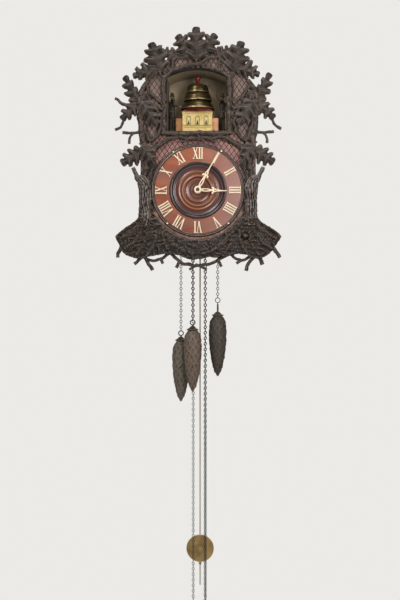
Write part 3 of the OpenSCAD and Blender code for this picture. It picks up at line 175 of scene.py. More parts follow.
def lathe(profile, centre, segments=64, axis="z", slots=None, lobes=None):
    # profile: [radius, height] from one end of the axis to the other; axis y turns it toward the viewer
    profile = np.array(profile, float)
    verts, faces, which, rows = [], [], [], []
    for j, (r, h) in enumerate(profile):
        if r < 1e-6:
            rows.append([len(verts)])
            verts.append((0.0, 0.0, h))
            continue
        rows.append(list(range(len(verts), len(verts) + segments)))
        for k in range(segments):
            a = 2 * math.pi * k / segments
            grow = 1.0 if lobes is None else lobes(a, j)
            verts.append((r * grow * math.cos(a), r * grow * math.sin(a), h))
    closed = len(rows[0]) > 1 and len(rows[-1]) > 1
    for a in range(len(rows) if closed else len(rows) - 1):
        lower, upper = rows[a], rows[(a + 1) % len(rows)]
        for k in range(segments):
            n = (k + 1) % segments
            if len(lower) == 1:
                faces.append([lower[0], upper[n], upper[k]])
            elif len(upper) == 1:
                faces.append([lower[k], lower[n], upper[0]])
            else:
                faces.append([lower[k], lower[n], upper[n], upper[k]])
            which.append(slots[a] if slots else 0)
    verts = np.array(verts)
    if axis == "y":
        verts = np.column_stack([verts[:, 0], -verts[:, 2], verts[:, 1]])
    return verts + np.array(centre, float), faces, which


def turned(profile, centre, segments=64, slot=0, axis="z"):  # the same in one material
    return (*lathe(profile, centre, segments, axis)[:2], slot)


def smoothTube(points, sides=8, steps=6, closed=False, slot=0):
    path = np.array(points, float) if closed else splineThrough(points, steps)
    centres, radii = path[:, :3], path[:, 3]
    if closed:
        tangents = np.roll(centres, -1, axis=0) - np.roll(centres, 1, axis=0)
    else:
        tangents = np.gradient(centres, axis=0)
    tangents /= np.linalg.norm(tangents, axis=1)[:, None]
    towardWall = abs(tangents[:, 1]).max() >= 0.95  # then the rings are measured from another line
    u = np.cross([0.31, 0.05, 0.95] if towardWall else [0.0, 1.0, 0.0], tangents)
    u /= np.linalg.norm(u, axis=1)[:, None]
    v = np.cross(tangents, u)
    angles = [2 * math.pi * k / sides for k in range(sides)]
    verts = [centres[i] + radii[i] * (math.cos(a) * u[i] + math.sin(a) * v[i])
             for i in range(len(path)) for a in angles]
    faces = tubeFaces(len(path), sides, closed)
    if not closed:
        faces.append(list(range(sides))[::-1])
        faces.append([(len(path) - 1) * sides + k for k in range(sides)])
    return np.array(verts), faces, slot


def ball(centre, radii, slot=0, rings=12, sides=18):
    profile = [(math.sin(math.pi * i / rings), -math.cos(math.pi * i / rings)) for i in range(rings + 1)]
    profile[0], profile[-1] = (0, -1), (0, 1)
    verts, faces, _ = lathe(profile, (0, 0, 0), sides)
    return verts * np.array(radii, float) + np.array(centre, float), faces, slot


boxFaces = [[0, 2, 3, 1], [4, 5, 7, 6], [0, 1, 5, 4], [2, 6, 7, 3], [0, 4, 6, 2], [1, 3, 7, 5]]


def block(low, high, slot=0):
    (x0, y0, z0), (x1, y1, z1) = low, high
    return np.array([(x, y, z) for z in (z0, z1) for y in (y0, y1) for x in (x0, x1)], float), boxFaces, slot


def inScene(name, data):
    made = bpy.data.objects.new(name, data)
    bpy.context.scene.collection.objects.link(made)
    return made


def pointOutward(mesh, gap=None):  # merges points closer than gap metres, then turns all faces outward
    shape = bmesh.new()
    shape.from_mesh(mesh)
    if gap:
        bmesh.ops.remove_doubles(shape, verts=shape.verts, dist=gap)
    bmesh.ops.recalc_face_normals(shape, faces=shape.faces)
    shape.to_mesh(mesh)
    shape.free()


def pointsOf(mesh):
    co = np.zeros(len(mesh.vertices) * 3)
    mesh.vertices.foreach_get("co", co)
    return co.reshape(-1, 3) / mm


def note(mesh, name, kind, field, values):  # an attribute with one value for each point
    mesh.attributes.new(name, kind, "POINT").data.foreach_set(field, np.array(values, float).ravel())


def meshOf(name, shells, lookNames):
    verts, faces, slots, shades, base = [], [], [], [], 0
    for points, polys, which, *shade in shells:
        verts.append(points)
        shades.append(shade[0] if shade else np.zeros(len(points)))
        faces += [[i + base for i in f] for f in polys]
        slots += list(which) if isinstance(which, (list, tuple)) else [which] * len(polys)
        base += len(points)
    mesh = bpy.data.meshes.new(name)
    mesh.from_pydata((np.concatenate(verts) * mm).tolist(), [], faces)
    for look in lookNames.split():
        mesh.materials.append(looks[look])
    mesh.polygons.foreach_set("material_index", slots)
    note(mesh, "groove", "FLOAT", "value", np.concatenate(shades))
    pointOutward(mesh)
    mesh.update()
    return inScene(name, mesh)


def settle(made):  # bakes the modifiers into a plain mesh
    bpy.context.view_layer.update()
    ready = made.evaluated_get(bpy.context.evaluated_depsgraph_get())
    mesh = bpy.data.meshes.new_from_object(ready)
    old = made.data
    made.modifiers.clear()
    made.data = mesh
    if old.users == 0:
        bpy.data.meshes.remove(old)
    return made


def shadeByAngle(made, degrees):
    made.data.shade_smooth()
    if degrees:
        made.data.set_sharp_from_angle(angle=math.radians(degrees))


def attach(made, node=None, body="clock"):
    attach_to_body(made, body)
    if node:
        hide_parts(node)


def makePiece(name, shells, lookNames, degrees, node=None, body="clock"):
    made = meshOf(name, shells, lookNames)
    shadeByAngle(made, degrees)
    attach(made, node, body)


def bevelled(made, width, segments=2):
    cut = made.modifiers.new("bevel", "BEVEL")
    cut.width, cut.segments = width * mm, segments
    cut.limit_method, cut.angle_limit = "ANGLE", math.radians(35)
    return settle(made)


def fused(made, voxel, smoothing):
    melt = made.modifiers.new("melt", "REMESH")
    melt.mode, melt.voxel_size = "VOXEL", voxel * mm
    soften = made.modifiers.new("soften", "SMOOTH")
    soften.factor, soften.iterations = 0.5, smoothing
    return settle(made)


def joined(pieces, name):  # one piece that keeps the materials of all
    mesh = bmesh.new()
    materials = []
    for piece in pieces:
        part = bmesh.new()
        part.from_mesh(piece.data)
        for face in part.faces:
            look = piece.data.materials[face.material_index]
            if look not in materials:
                materials.append(look)
            face.material_index = materials.index(look)
        moved = bpy.data.meshes.new("part")
        part.to_mesh(moved)
        part.free()
        mesh.from_mesh(moved)
        bpy.data.meshes.remove(moved)
    whole = bpy.data.meshes.new(name)
    mesh.to_mesh(whole)
    mesh.free()
    for look in materials:
        whole.materials.append(look)
    for piece in pieces:
        bpy.data.objects.remove(piece)
    return inScene(name, whole)


# Finishes: every colour is written as it shows, 0 to 255

def linear(*rgb):  # a display colour as a light level
    return tuple((c / 255 / 12.92) if c / 255 <= 0.04045 else ((c / 255 + 0.055) / 1.055) ** 2.4 for c in rgb)


def addNode(tree, kind, sockets=None, **settings):
    made = tree.nodes.new(kind)
    for key, value in settings.items():
        setattr(made, key, value)
    for key, value in (sockets or {}).items():
        if isinstance(value, bpy.types.NodeSocket):
            tree.links.new(value, made.inputs[key])
        else:
            made.inputs[key].default_value = value
    return made


def fromNode(tree, kind, output, sockets=None, **settings):
    return addNode(tree, kind, sockets, **settings).outputs[output]


def fadeThrough(tree, factor, stops):  # stops: [(place, colour)]
    ramp = addNode(tree, "ShaderNodeValToRGB", {"Fac": factor})
    bar = ramp.color_ramp
    while len(bar.elements) < len(stops):
        bar.elements.new(0.5)
    for element, (at, colour) in zip(bar.elements, stops):
        element.position = at
        element.color = (*linear(*colour), 1)
    return ramp.outputs["Color"]


def blendColours(tree, factor, first, second):
    if isinstance(second, tuple):
        second = (*linear(*second), 1)
    return fromNode(tree, "ShaderNodeMix", 2, {0: factor, 6: first, 7: second}, data_type="RGBA")


def spread(tree, value, low, high, start=0.0, stop=1.0):
    return fromNode(tree, "ShaderNodeMapRange", "Result", {
        "Value": value, "From Min": start, "From Max": stop, "To Min": low, "To Max": high})


paintwork = {
    "broad": {"Detail": 5.0, "Roughness": 0.6, "Distortion": 0.4}, "fine": {"Detail": 4.0, "Roughness": 0.65},
    "cloud": {"Detail": 3.0, "Roughness": 0.5}, "cloudFrom": (0.46, 0.62), "fineFrom": (0.3, 0.7),
    "speck": (0.86, 1.14), "sidesFrom": (0.5, 0.9), "sideShade": (64, 54, 42), "grooveShade": (9, 6, 4),
    "creviceFrom": (0.40, 0.50), "wearAndHighlightMix": 0.85, "painted": 0.7, "lumpStrength": 0.8, "coatRough": 0.25,
    "sheenRough": 0.4}


def finish(name, dark, light, rough=(0.45, 0.65), metallic=0.0, scale=60.0, stretch=(1, 1, 1), contrast=(0.3, 0.7),
           grain=900.0, bump=0.25, depth=0.4, worn=None, crevice=None, wearAndHighlightAt=(0.52, 0.60), patches=None,
           patchScale=18.0, coat=0.0, sheen=0.0, shift=(0, 0, 0), bands=None, paint=None, lumps=0.0, shine=0.5,
           shadeSides=0.0, grooves=0.0, paintedSheen=None):
    material = bpy.data.materials.new(name)
    material.use_nodes = True
    tree = material.node_tree
    where = fromNode(tree, "ShaderNodeTexCoord", "Object")
    laidOut = fromNode(tree, "ShaderNodeMapping", "Vector", {"Vector": where, "Location": shift, "Scale": stretch})

    def axisOf(vector, axis):
        return fromNode(tree, "ShaderNodeSeparateXYZ", axis, {0: vector})

    def cloudy(size, kind):
        return fromNode(tree, "ShaderNodeTexNoise", "Fac", {"Vector": laidOut, "Scale": size, **paintwork[kind]})

    broad, fine = cloudy(scale, "broad"), cloudy(grain, "fine")
    colour = fadeThrough(tree, broad, [(contrast[0], dark), (contrast[1], light)])
    if bands:  # rings by distance from a centre line toward the viewer
        x, z = bands["centre"]
        about = fromNode(tree, "ShaderNodeMapping", "Vector", {
            "Vector": where, "Location": (-x * mm, 0, -z * mm), "Scale": (1, 0, 1)})
        reach = fromNode(tree, "ShaderNodeVectorMath", "Value", {0: about}, operation="LENGTH")
        share = spread(tree, reach, 0.0, 1.0, 0.0, bands["outer"] * mm)
        colour = blendColours(tree, bands["amount"], colour, fadeThrough(tree, share, bands["stops"]))
    if paint:  # colour bands by height, palest about two thirds up and darkest at the top: (lowest z, highest z, colours from below)
        share = spread(tree, axisOf(where, "Z"), 0.0, 1.0, paint[0] * mm, paint[1] * mm)
        colour = blendColours(tree, paintwork["painted"], colour, fadeThrough(tree, share, paint[2]))
    if patches:
        part = spread(tree, cloudy(patchScale, "cloud"), 0.0, 1.0, *paintwork["cloudFrom"])
        colour = blendColours(tree, part, colour, patches)
    if shadeSides:  # the same paint in the shade of a box's side walls
        normal = fromNode(tree, "ShaderNodeNewGeometry", "True Normal")
        sideways = fromNode(tree, "ShaderNodeMath", 0, {0: axisOf(normal, "X")}, operation="ABSOLUTE")
        part = spread(tree, sideways, 0.0, shadeSides, *paintwork["sidesFrom"])
        colour = blendColours(tree, part, colour, paintwork["sideShade"])
    if paintedSheen:  # painted sheen: paler and greyer toward the right: (from x, to x, colour, how far)
        part = spread(tree, axisOf(where, "X"), 0.0, paintedSheen[3], paintedSheen[0] * mm, paintedSheen[1] * mm)
        colour = blendColours(tree, part, colour, paintedSheen[2])
    # painted shade, from each piece's groove attribute
    if grooves:
        deep = fromNode(tree, "ShaderNodeAttribute", "Fac", attribute_name="groove")
        colour = blendColours(tree, spread(tree, deep, 0.0, grooves), colour, paintwork["grooveShade"])
    speck = spread(tree, fine, *paintwork["speck"], *paintwork["fineFrom"])
    colour = fromNode(tree, "ShaderNodeVectorMath", "Vector", {0: colour, 3: speck}, operation="SCALE")
    if crevice or worn:
        edge = fromNode(tree, "ShaderNodeNewGeometry", "Pointiness")
    # painted shade: darker in crevices and hollows, found by pointiness
    if crevice:
        colour = blendColours(tree, spread(tree, edge, 1.0, 0.0, *paintwork["creviceFrom"]), colour, crevice)
    # lighter on convex edges, found by pointiness: real wear together with a painted highlight
    if worn:
        colour = blendColours(tree, spread(tree, edge, 0.0, paintwork["wearAndHighlightMix"], *wearAndHighlightAt), colour, worn)
    raised = fromNode(tree, "ShaderNodeBump", "Normal", {"Strength": bump, "Distance": depth * mm, "Height": fine})
    if lumps:
        raised = fromNode(tree, "ShaderNodeBump", "Normal", {
            "Strength": paintwork["lumpStrength"], "Distance": lumps * mm, "Height": broad, "Normal": raised})
    shader = tree.nodes["Principled BSDF"]
    roughness = spread(tree, fine, *rough, *paintwork["fineFrom"])
    for key, value in (("Base Color", colour), ("Roughness", roughness), ("Normal", raised)):
        tree.links.new(value, shader.inputs[key])
    for key, value in (("Metallic", metallic), ("Specular IOR Level", shine), ("Coat Weight", coat),
                       ("Sheen Weight", sheen)):
        shader.inputs[key].default_value = value
    if coat:
        shader.inputs["Coat Roughness"].default_value = paintwork["coatRough"]
    if sheen:
        shader.inputs["Sheen Roughness"].default_value = paintwork["sheenRough"]
    return material


def carved(name, dark, light, **changes):
    return finish(name, dark, light, **{**dict(
        rough=(0.38, 0.66), scale=150, grain=620, bump=0.5, depth=0.6, contrast=(0.38, 0.62), lumps=1.4,
        worn=(124, 104, 88), wearAndHighlightAt=(0.51, 0.60), crevice=(5, 3, 2), shine=0.4, grooves=0.92), **changes})


def castIron(name, dark, light, worn, crevice, patches, rough=(0.5, 0.72), shift=0):
    return finish(name, dark, light, rough=rough, scale=26, metallic=0.25, worn=worn, crevice=crevice,
                  patches=patches, bump=0.5, shift=(shift, 0, 0))


def painted(name, dark, light, scale=60, rough=(0.6, 0.8), **changes):
    return finish(name, dark, light, scale=scale, rough=rough, **changes)


looks = {
    "bark": carved("carvedBark", (22, 15, 11), (74, 58, 48)),
    "trunk": carved("trunkBark", (11, 8, 6), (106, 90, 81), stretch=(1.5, 1.5, 0.14), worn=(184, 167, 154),
                    contrast=(0.42, 0.66)),
    "leaf": carved("carvedLeaf", (30, 21, 16), (72, 58, 48), scale=60, lumps=0.5, bump=0.3, worn=(118, 100, 86)),
    "base": carved("carvedBase", (18, 12, 8), (66, 51, 40), scale=190, bump=0.7, lumps=1.8, worn=(136, 112, 92)),
    "cut": finish("cutEnd", (60, 46, 38), (96, 78, 66), scale=180, grain=1500, rough=(0.6, 0.8)),
    "board": finish("boardDark", (18, 12, 10), (40, 29, 26), scale=30, stretch=(1, 1, 0.25)),
    "tile": finish("latticeTile", (70, 50, 45), (128, 100, 90), scale=26, stretch=(1, 1, 0.3), rough=(0.4, 0.6),
                   worn=(140, 116, 104), crevice=(30, 21, 18), coat=0.1),
    "tilePink": finish("latticePane", (100, 56, 52), (156, 100, 90), scale=26, stretch=(1, 1, 0.3),
                       rough=(0.4, 0.6), worn=(174, 128, 118), crevice=(56, 32, 30), coat=0.2),
    "rim": finish("rimWood", (52, 34, 29), (106, 74, 64), rough=(0.35, 0.5), worn=(150, 116, 100),
                  crevice=(24, 14, 12)),
    # a lighter copy of the moulding finish: a painted highlight on its ridge tops
    "mouldingLight": finish("mouldingLight", (104, 84, 76), (142, 120, 110), scale=50, rough=(0.25, 0.4), coat=0.4,
                            bump=0.1),
    "moulding": finish("moulding", (32, 24, 22), (58, 45, 42), scale=50, rough=(0.25, 0.4), coat=0.4, bump=0.1),
    # the dial ring turns paler and greyer to the right: a painted sheen
    "dialRing": finish("dialRing", (112, 54, 36), (172, 98, 66), paintedSheen=(-10, 105, (158, 122, 114), 0.72), scale=14,
                       stretch=(0.35, 1, 1.3), rough=(0.3, 0.42), grain=500, bump=0.12, patches=(124, 88, 80),
                       patchScale=9, coat=0.22),
    "dialCentre": finish(
        "dialCentre", (86, 40, 30), (128, 66, 50), scale=18, rough=(0.26, 0.38), grain=600, bump=0.12, coat=0.35,
        bands={"centre": (0, dialZ), "outer": 76.0, "amount": 0.88, "stops": [
            (0.0, (140, 92, 78)), (0.13, (156, 104, 86)), (0.15, (66, 34, 28)), (0.24, (140, 88, 70)),
            (0.26, (62, 32, 26)), (0.40, (134, 82, 62)), (0.42, (70, 26, 20)), (0.47, (96, 26, 18)),
            (0.52, (168, 116, 62)), (0.55, (84, 40, 24)), (0.60, (92, 28, 24)), (0.64, (156, 100, 56)),
            (0.68, (74, 32, 22)), (0.78, (70, 28, 26)), (0.82, (24, 16, 14)), (0.84, (96, 90, 86)),
            (0.86, (16, 12, 12)), (1.0, (22, 16, 15))]}),
    "bone": finish("bone", (216, 196, 160), (242, 226, 196), scale=120, stretch=(1, 1, 0.2), rough=(0.35, 0.5),
                   bump=0.12, depth=0.15),
    "case": finish("caseWood", (66, 45, 33), (104, 74, 54), scale=22, stretch=(6, 6, 0.5), rough=(0.5, 0.7),
                   grain=420, bump=0.3),
    "stage": painted("stagePaint", (190, 172, 142), (226, 206, 172), 20, bump=0.2, shadeSides=0.8, paint=(-160, 5, [
        (0.0, (200, 178, 142)), (0.70, (228, 206, 168)), (0.86, (130, 114, 88)), (1.0, (56, 49, 38))])),
    "brass": finish("brass", (132, 98, 44), (190, 152, 84), metallic=1.0, rough=(0.24, 0.42), scale=25, grain=1400,
                    bump=0.06, patches=(116, 88, 48)),
    "hardware": finish("hardwareBrass", (118, 90, 46), (170, 134, 76), metallic=1.0, rough=(0.3, 0.5), scale=40),
    "steel": finish("steel", (120, 118, 114), (168, 166, 162), metallic=1.0, rough=(0.26, 0.42), bump=0.08),
    "bell": finish("bellBronze", (66, 54, 34), (108, 92, 60), metallic=0.85, rough=(0.24, 0.4), scale=30,
                   stretch=(1, 1, 4), bump=0.08),
    # a lighter copy of the bell bronze: a painted highlight
    "bellRim": finish("bellRim", (138, 122, 82), (172, 156, 114), metallic=0.9, rough=(0.3, 0.45), bump=0.05),
    "red": finish("redLacquer", (96, 22, 14), (150, 46, 32), rough=(0.18, 0.3), scale=40, bump=0.06, coat=0.5),
    "ironLeft": castIron("coneIronLeft", (56, 52, 44), (94, 87, 76), (118, 109, 95), (26, 22, 18), (82, 70, 56)),
    "ironMiddle": castIron("coneIronMiddle", (68, 56, 46), (103, 87, 73), (126, 108, 90), (30, 23, 19),
                           (84, 70, 64), shift=3),
    "ironRight": castIron("coneIronRight", (44, 38, 33), (69, 60, 53), (88, 77, 68), (20, 16, 14), (56, 51, 41),
                          (0.45, 0.68), 7),
    "cap": finish("coneCap", (62, 54, 44), (94, 84, 68), rough=(0.4, 0.6), scale=40, metallic=0.35,
                  worn=(130, 118, 96), crevice=(26, 22, 18), bump=0.3),
    "chain": finish("chainBronze", (26, 21, 14), (54, 44, 31), metallic=0.3, rough=(0.35, 0.55), scale=200,
                    bump=0.1),
    "rod": finish("rodWood", (170, 162, 142), (200, 192, 172), rough=(0.5, 0.65), stretch=(4, 4, 0.2)),
    "bob": finish("bobBrass", (128, 104, 60), (190, 162, 106), metallic=0.6, rough=(0.36, 0.55), scale=24,
                  bump=0.15, patches=(140, 106, 70), patchScale=20, worn=(196, 168, 112), crevice=(58, 42, 22)),
    "plaster": painted("yellowPlaster", (205, 176, 104), (236, 209, 142), 70, bump=0.2, patches=(214, 186, 132),
                       crevice=(130, 112, 52)),
    "olive": painted("olivePaint", (116, 112, 48), (150, 144, 74), 90, (0.55, 0.7)),
    "niche": painted("paleNiche", (214, 194, 134), (236, 218, 164), 80),
    "fir": painted("firGreen", (22, 36, 20), (44, 62, 32), 120),
    "clay": painted("clayWall", (150, 98, 56), (186, 132, 84), crevice=(84, 50, 28)),
    "salmon": painted("salmonWall", (206, 146, 108), (232, 182, 142), crevice=(120, 74, 50)),
    "pink": painted("pinkRoof", (196, 122, 98), (222, 158, 130), rough=(0.5, 0.7)),
    "roofRed": painted("chapelRoof", (92, 34, 16), (136, 62, 26), rough=(0.35, 0.5), coat=0.2),
    "drum": painted("bellDrum", (72, 18, 12), (112, 32, 18), rough=(0.3, 0.45), coat=0.3),
    "moss": painted("moss", (58, 70, 26), (112, 122, 52), 160, (0.7, 0.9), sheen=0.2),
    "coat": painted("figureCoat", (38, 32, 24), (62, 52, 38), 90, (0.5, 0.7), worn=(96, 84, 62),
                    crevice=(18, 15, 12)),
    "skin": painted("figureSkin", (92, 70, 48), (124, 96, 68), 120, (0.5, 0.65), crevice=(70, 46, 32)),
    "strap": painted("figureTrim", (84, 62, 34), (120, 92, 52), 120, (0.4, 0.6)),
}
print("stage 2: finishes made")

cadLooks = {
    "case": "back_frame back_door case_sides case_roof case_floor seat_board",
    "hardware": "hanger_plate door_hinges", "board": "front_board",
    "stage": "stage_box", "dialRing": "dial_ring", "bone": "numerals minute_hand hour_hand",
    "brass": "front_plate back_plate time_great_wheel time_chain_wheel centre_wheel third_wheel escape_wheel "
             "minute_wheel hour_wheel strike_great_wheel strike_pin_wheel automaton_great_wheel "
             "automaton_pin_wheel", "steel": "anchor lift_wire_left lift_wire_right", "rod": "pendulum_rod",
    "bark": "niche_branches rail_branches trunks", "leaf": "crown_leaves leaves_left leaves_right",
    "base": "base_carving", "moulding": "dial_moulding", "dialCentre": "dial_centre", "plaster": "chapel",
    "red": "bell_spindle", "bell": "bell_large bell_middle bell_small",
    "coat": "figure_left figure_left_arm figure_right figure_right_arm", "ironLeft": "weight_left",
    "ironMiddle": "weight_middle", "ironRight": "weight_right", "bob": "pendulum_bob",
    "chain": "chain_left chain_middle chain_right free_chain_left free_chain_middle free_chain_right chain_wraps",
}
for look, names in cadLooks.items():
    for name in names.split():
        data = cadNodes[name].data
        data.materials.clear()
        data.materials.append(looks[look])


# Carved branches, rail and trunks: rows are (out, back, up, radius)

branches = {
    "cover": 7, "trunkCover": 9,  # how far the middle lines stand before the board
    "posts": [  # from the middle of the niche and the foot of its arch
        [(-85.3, 0, -148, 7.3), (-83.3, 0, -88, 6.5), (-85.3, 0, -36, 7.3), (-84.3, 0, 2, 6.3)],
        [(86.5, 0, -148, 8), (84.5, 0, -92, 7), (86.5, 0, -36, 8), (85.5, 0, 2, 6.6)],
        [(-86.3, 0, -6, 5.5), (-61, 0, 16, 5), (-30, -2, 25, 4.6), (7, -5, 34, 5), (40, -5, 50, 4)],
        [(87.5, 0, -6, 5.5), (66, 0, 13, 5), (42, 0, 20, 4.6), (16, 1, 25, 4)],
        [(-60, 1, 14, 4.4), (-62, 0, 44, 3.8), (-60, 0, 72, 4.4)],
        [(58, 1, 14, 4.4), (60, 0, 44, 3.8), (57, 0, 76, 4.4)]],
    "rails": [  # from the middle of the rail
        [(-93, 0, 2, 5.4), (-50, -2, -1, 6.5), (0, -2, 1, 5.6), (50, -2, -1, 6.5), (88, 0, 2, 5.4)],
        [(-52, -1, -8, 3.8), (-24, -2, -13, 4.8), (6, -1, -10, 4.4), (30, -2, -14, 4.6), (54, -1, -8, 3.6)],
        [(-22, -3, -12, 3), (-34, -3, -20, 2.6), (-44, -2, -21, 3)],
        [(26, -3, -13, 3), (36, -3, -20, 2.6), (47, -2, -20, 3)],
        [(-6, -3, 2, 3.4), (4, -4, -8, 3.2), (14, -3, -19, 3)]],
    "sides": [  # on both sides, from the board's edge at the middle of its arch
        [(-110, 0, -74, 4.6), (-70, 0, -83, 6.2), (-33, 0, -111, 7), (-16, 0, -150, 6.4), (-10, 0, -186, 5)],
        [(-39, 2, -146, 3.2), (-23, 1, -180, 4.4), (-19.5, 1, -218, 4.4), (-22, 1, -258, 4.2), (-32, 2, -290, 3.6)],
        [(-58, 1, 10, 5), (-27, 0, 36, 4.2), (-14, 0, 66, 4.4)],
        [(-58, 1, -4, 4.6), (-22, 0, 8, 4), (-8, 0, 12, 5)],
        [(-9, 0, 2, 6), (-8, 0, -38, 6.4), (-22, 0, -84, 6)],
        [(-12, 1, -62, 4.4), (20, 0, -67, 3.6), (46, 0, -64, 4)],
        [(20, 0, -68, 3.4), (28, 0, -78, 3), (29, 0, -93, 3.6)],
        [(-20, 1, 70, 5.4), (-3, 0, 40, 7.4), (0, 0, 0, 8.2), (-2, 0, -42, 8), (-6, 0, -78, 8.4),
         (-14, 0, -116, 8.6), (-16, 0, -160, 7.4)],
        [(-66, 1, 86, 4.2), (-46, 0, 104, 4.6), (-22, 0, 74, 4.8)],
        [(-21, 1, 8, 4.4), (-38.5, 0, -2, 5.0), (-51.5, 0, -19, 5.2), (-54.5, 0, -39, 5.0), (-50.5, 0, -61, 5.2),
         (-39, 0, -79, 5.0), (-23, 1, -87, 4.6)]],
    "trunks": [  # on both sides, from the board's edge at the dial's middle
        [(7, 0, 32, 7), (-2, 0, 27, 12.5), (-11, 0, 10, 16), (-12, 0, -35, 14.5), (-12, 0, -70, 16),
         (-10, 0, -91, 17.5)],
        [(3, 0, 24, 7), (11, 0, 42, 5.4), (19, 0, 59, 5)]],
}


def barkPiece(name, paths, seed, node=None, look="bark", sides=(22,), **cut):
    shells = [barkBranch(path, seed + i, sides[i % len(sides)], **cut) for i, path in enumerate(paths)]
    makePiece(name, shells, look + " cut", 60, node)


def buildBranches():
    y, edge = boardFront - branches["cover"], place["boardR"]
    posts = [laid(rows, 1, place["nicheX"], y, place["nicheSide"]) for rows in branches["posts"]]
    barkPiece("nichePosts", posts, 11, "niche_branches", gap=2.0)
    rails = [laid(rows, 1, 0, y, place["railZ"]) for rows in branches["rails"]]
    rails += [laid(rows, s, s * edge, y, place["archZ"]) for s in (-1, 1) for rows in branches["sides"]]
    barkPiece("railBranches", rails, 31, "rail_branches")
    y = boardFront - branches["trunkCover"]
    stems = [laid(rows, s, s * edge, y, dialZ) for s in (-1, 1) for rows in branches["trunks"]]
    barkPiece("treeTrunks", stems, 61, "trunks", "trunk", (40, 22), depth=0.19, gnarl=1.0)


# Leaves: half outlines from stem to tip as (across, along), lobe tips marked by their number in the list

leaf = {
    "smooth": 4, "lanes": 9, "thick": 3.4, "thin": 0.75, "curl": 0.13, "vault": 0.055, "lobeRise": 0.11,
    "twist": 0.10, "midrib": 1.2, "vein": 0.8, "valley": 0.5, "unevenAcross": 0.07, "unevenAlong": 0.012,
    "lobeWidth": 1.5, "veinWidth": 0.34, "midribWidth": 1.6, "valleyAt": 0.75, "valleyWidth": 0.35, "gapAt": 0.9,
    "gapWidth": 0.5, "footLead": 1.02, "footSlant": 0.10, "footHighest": 0.985, "shadeFrom": 0.72,
    "rimShade": 0.8, "gapShade": 0.55, "tipShade": 0.6, "backShade": 0.9,
    "fan": ((4, 9, 15, 21), [
        (0.05, 0), (0.22, 0.05), (0.54, 0.10), (0.80, 0.17), (0.90, 0.26), (0.80, 0.33), (0.66, 0.35), (0.78, 0.40),
        (0.98, 0.47), (1.0, 0.56), (0.86, 0.61), (0.62, 0.60), (0.50, 0.63), (0.58, 0.67), (0.76, 0.73),
        (0.76, 0.82), (0.60, 0.85), (0.40, 0.83), (0.34, 0.87), (0.36, 0.94), (0.22, 0.99), (0, 1)]),
    "oak": ((4, 9, 15, 22), [
        (0.05, 0), (0.30, 0.01), (0.70, 0.03), (0.92, 0.10), (0.92, 0.20), (0.74, 0.25), (0.62, 0.27), (0.76, 0.31),
        (0.98, 0.37), (1.0, 0.46), (0.86, 0.51), (0.60, 0.50), (0.50, 0.53), (0.60, 0.58), (0.80, 0.64),
        (0.82, 0.74), (0.66, 0.78), (0.44, 0.76), (0.36, 0.80), (0.46, 0.87), (0.42, 0.95), (0.22, 0.99), (0, 1)]),
}


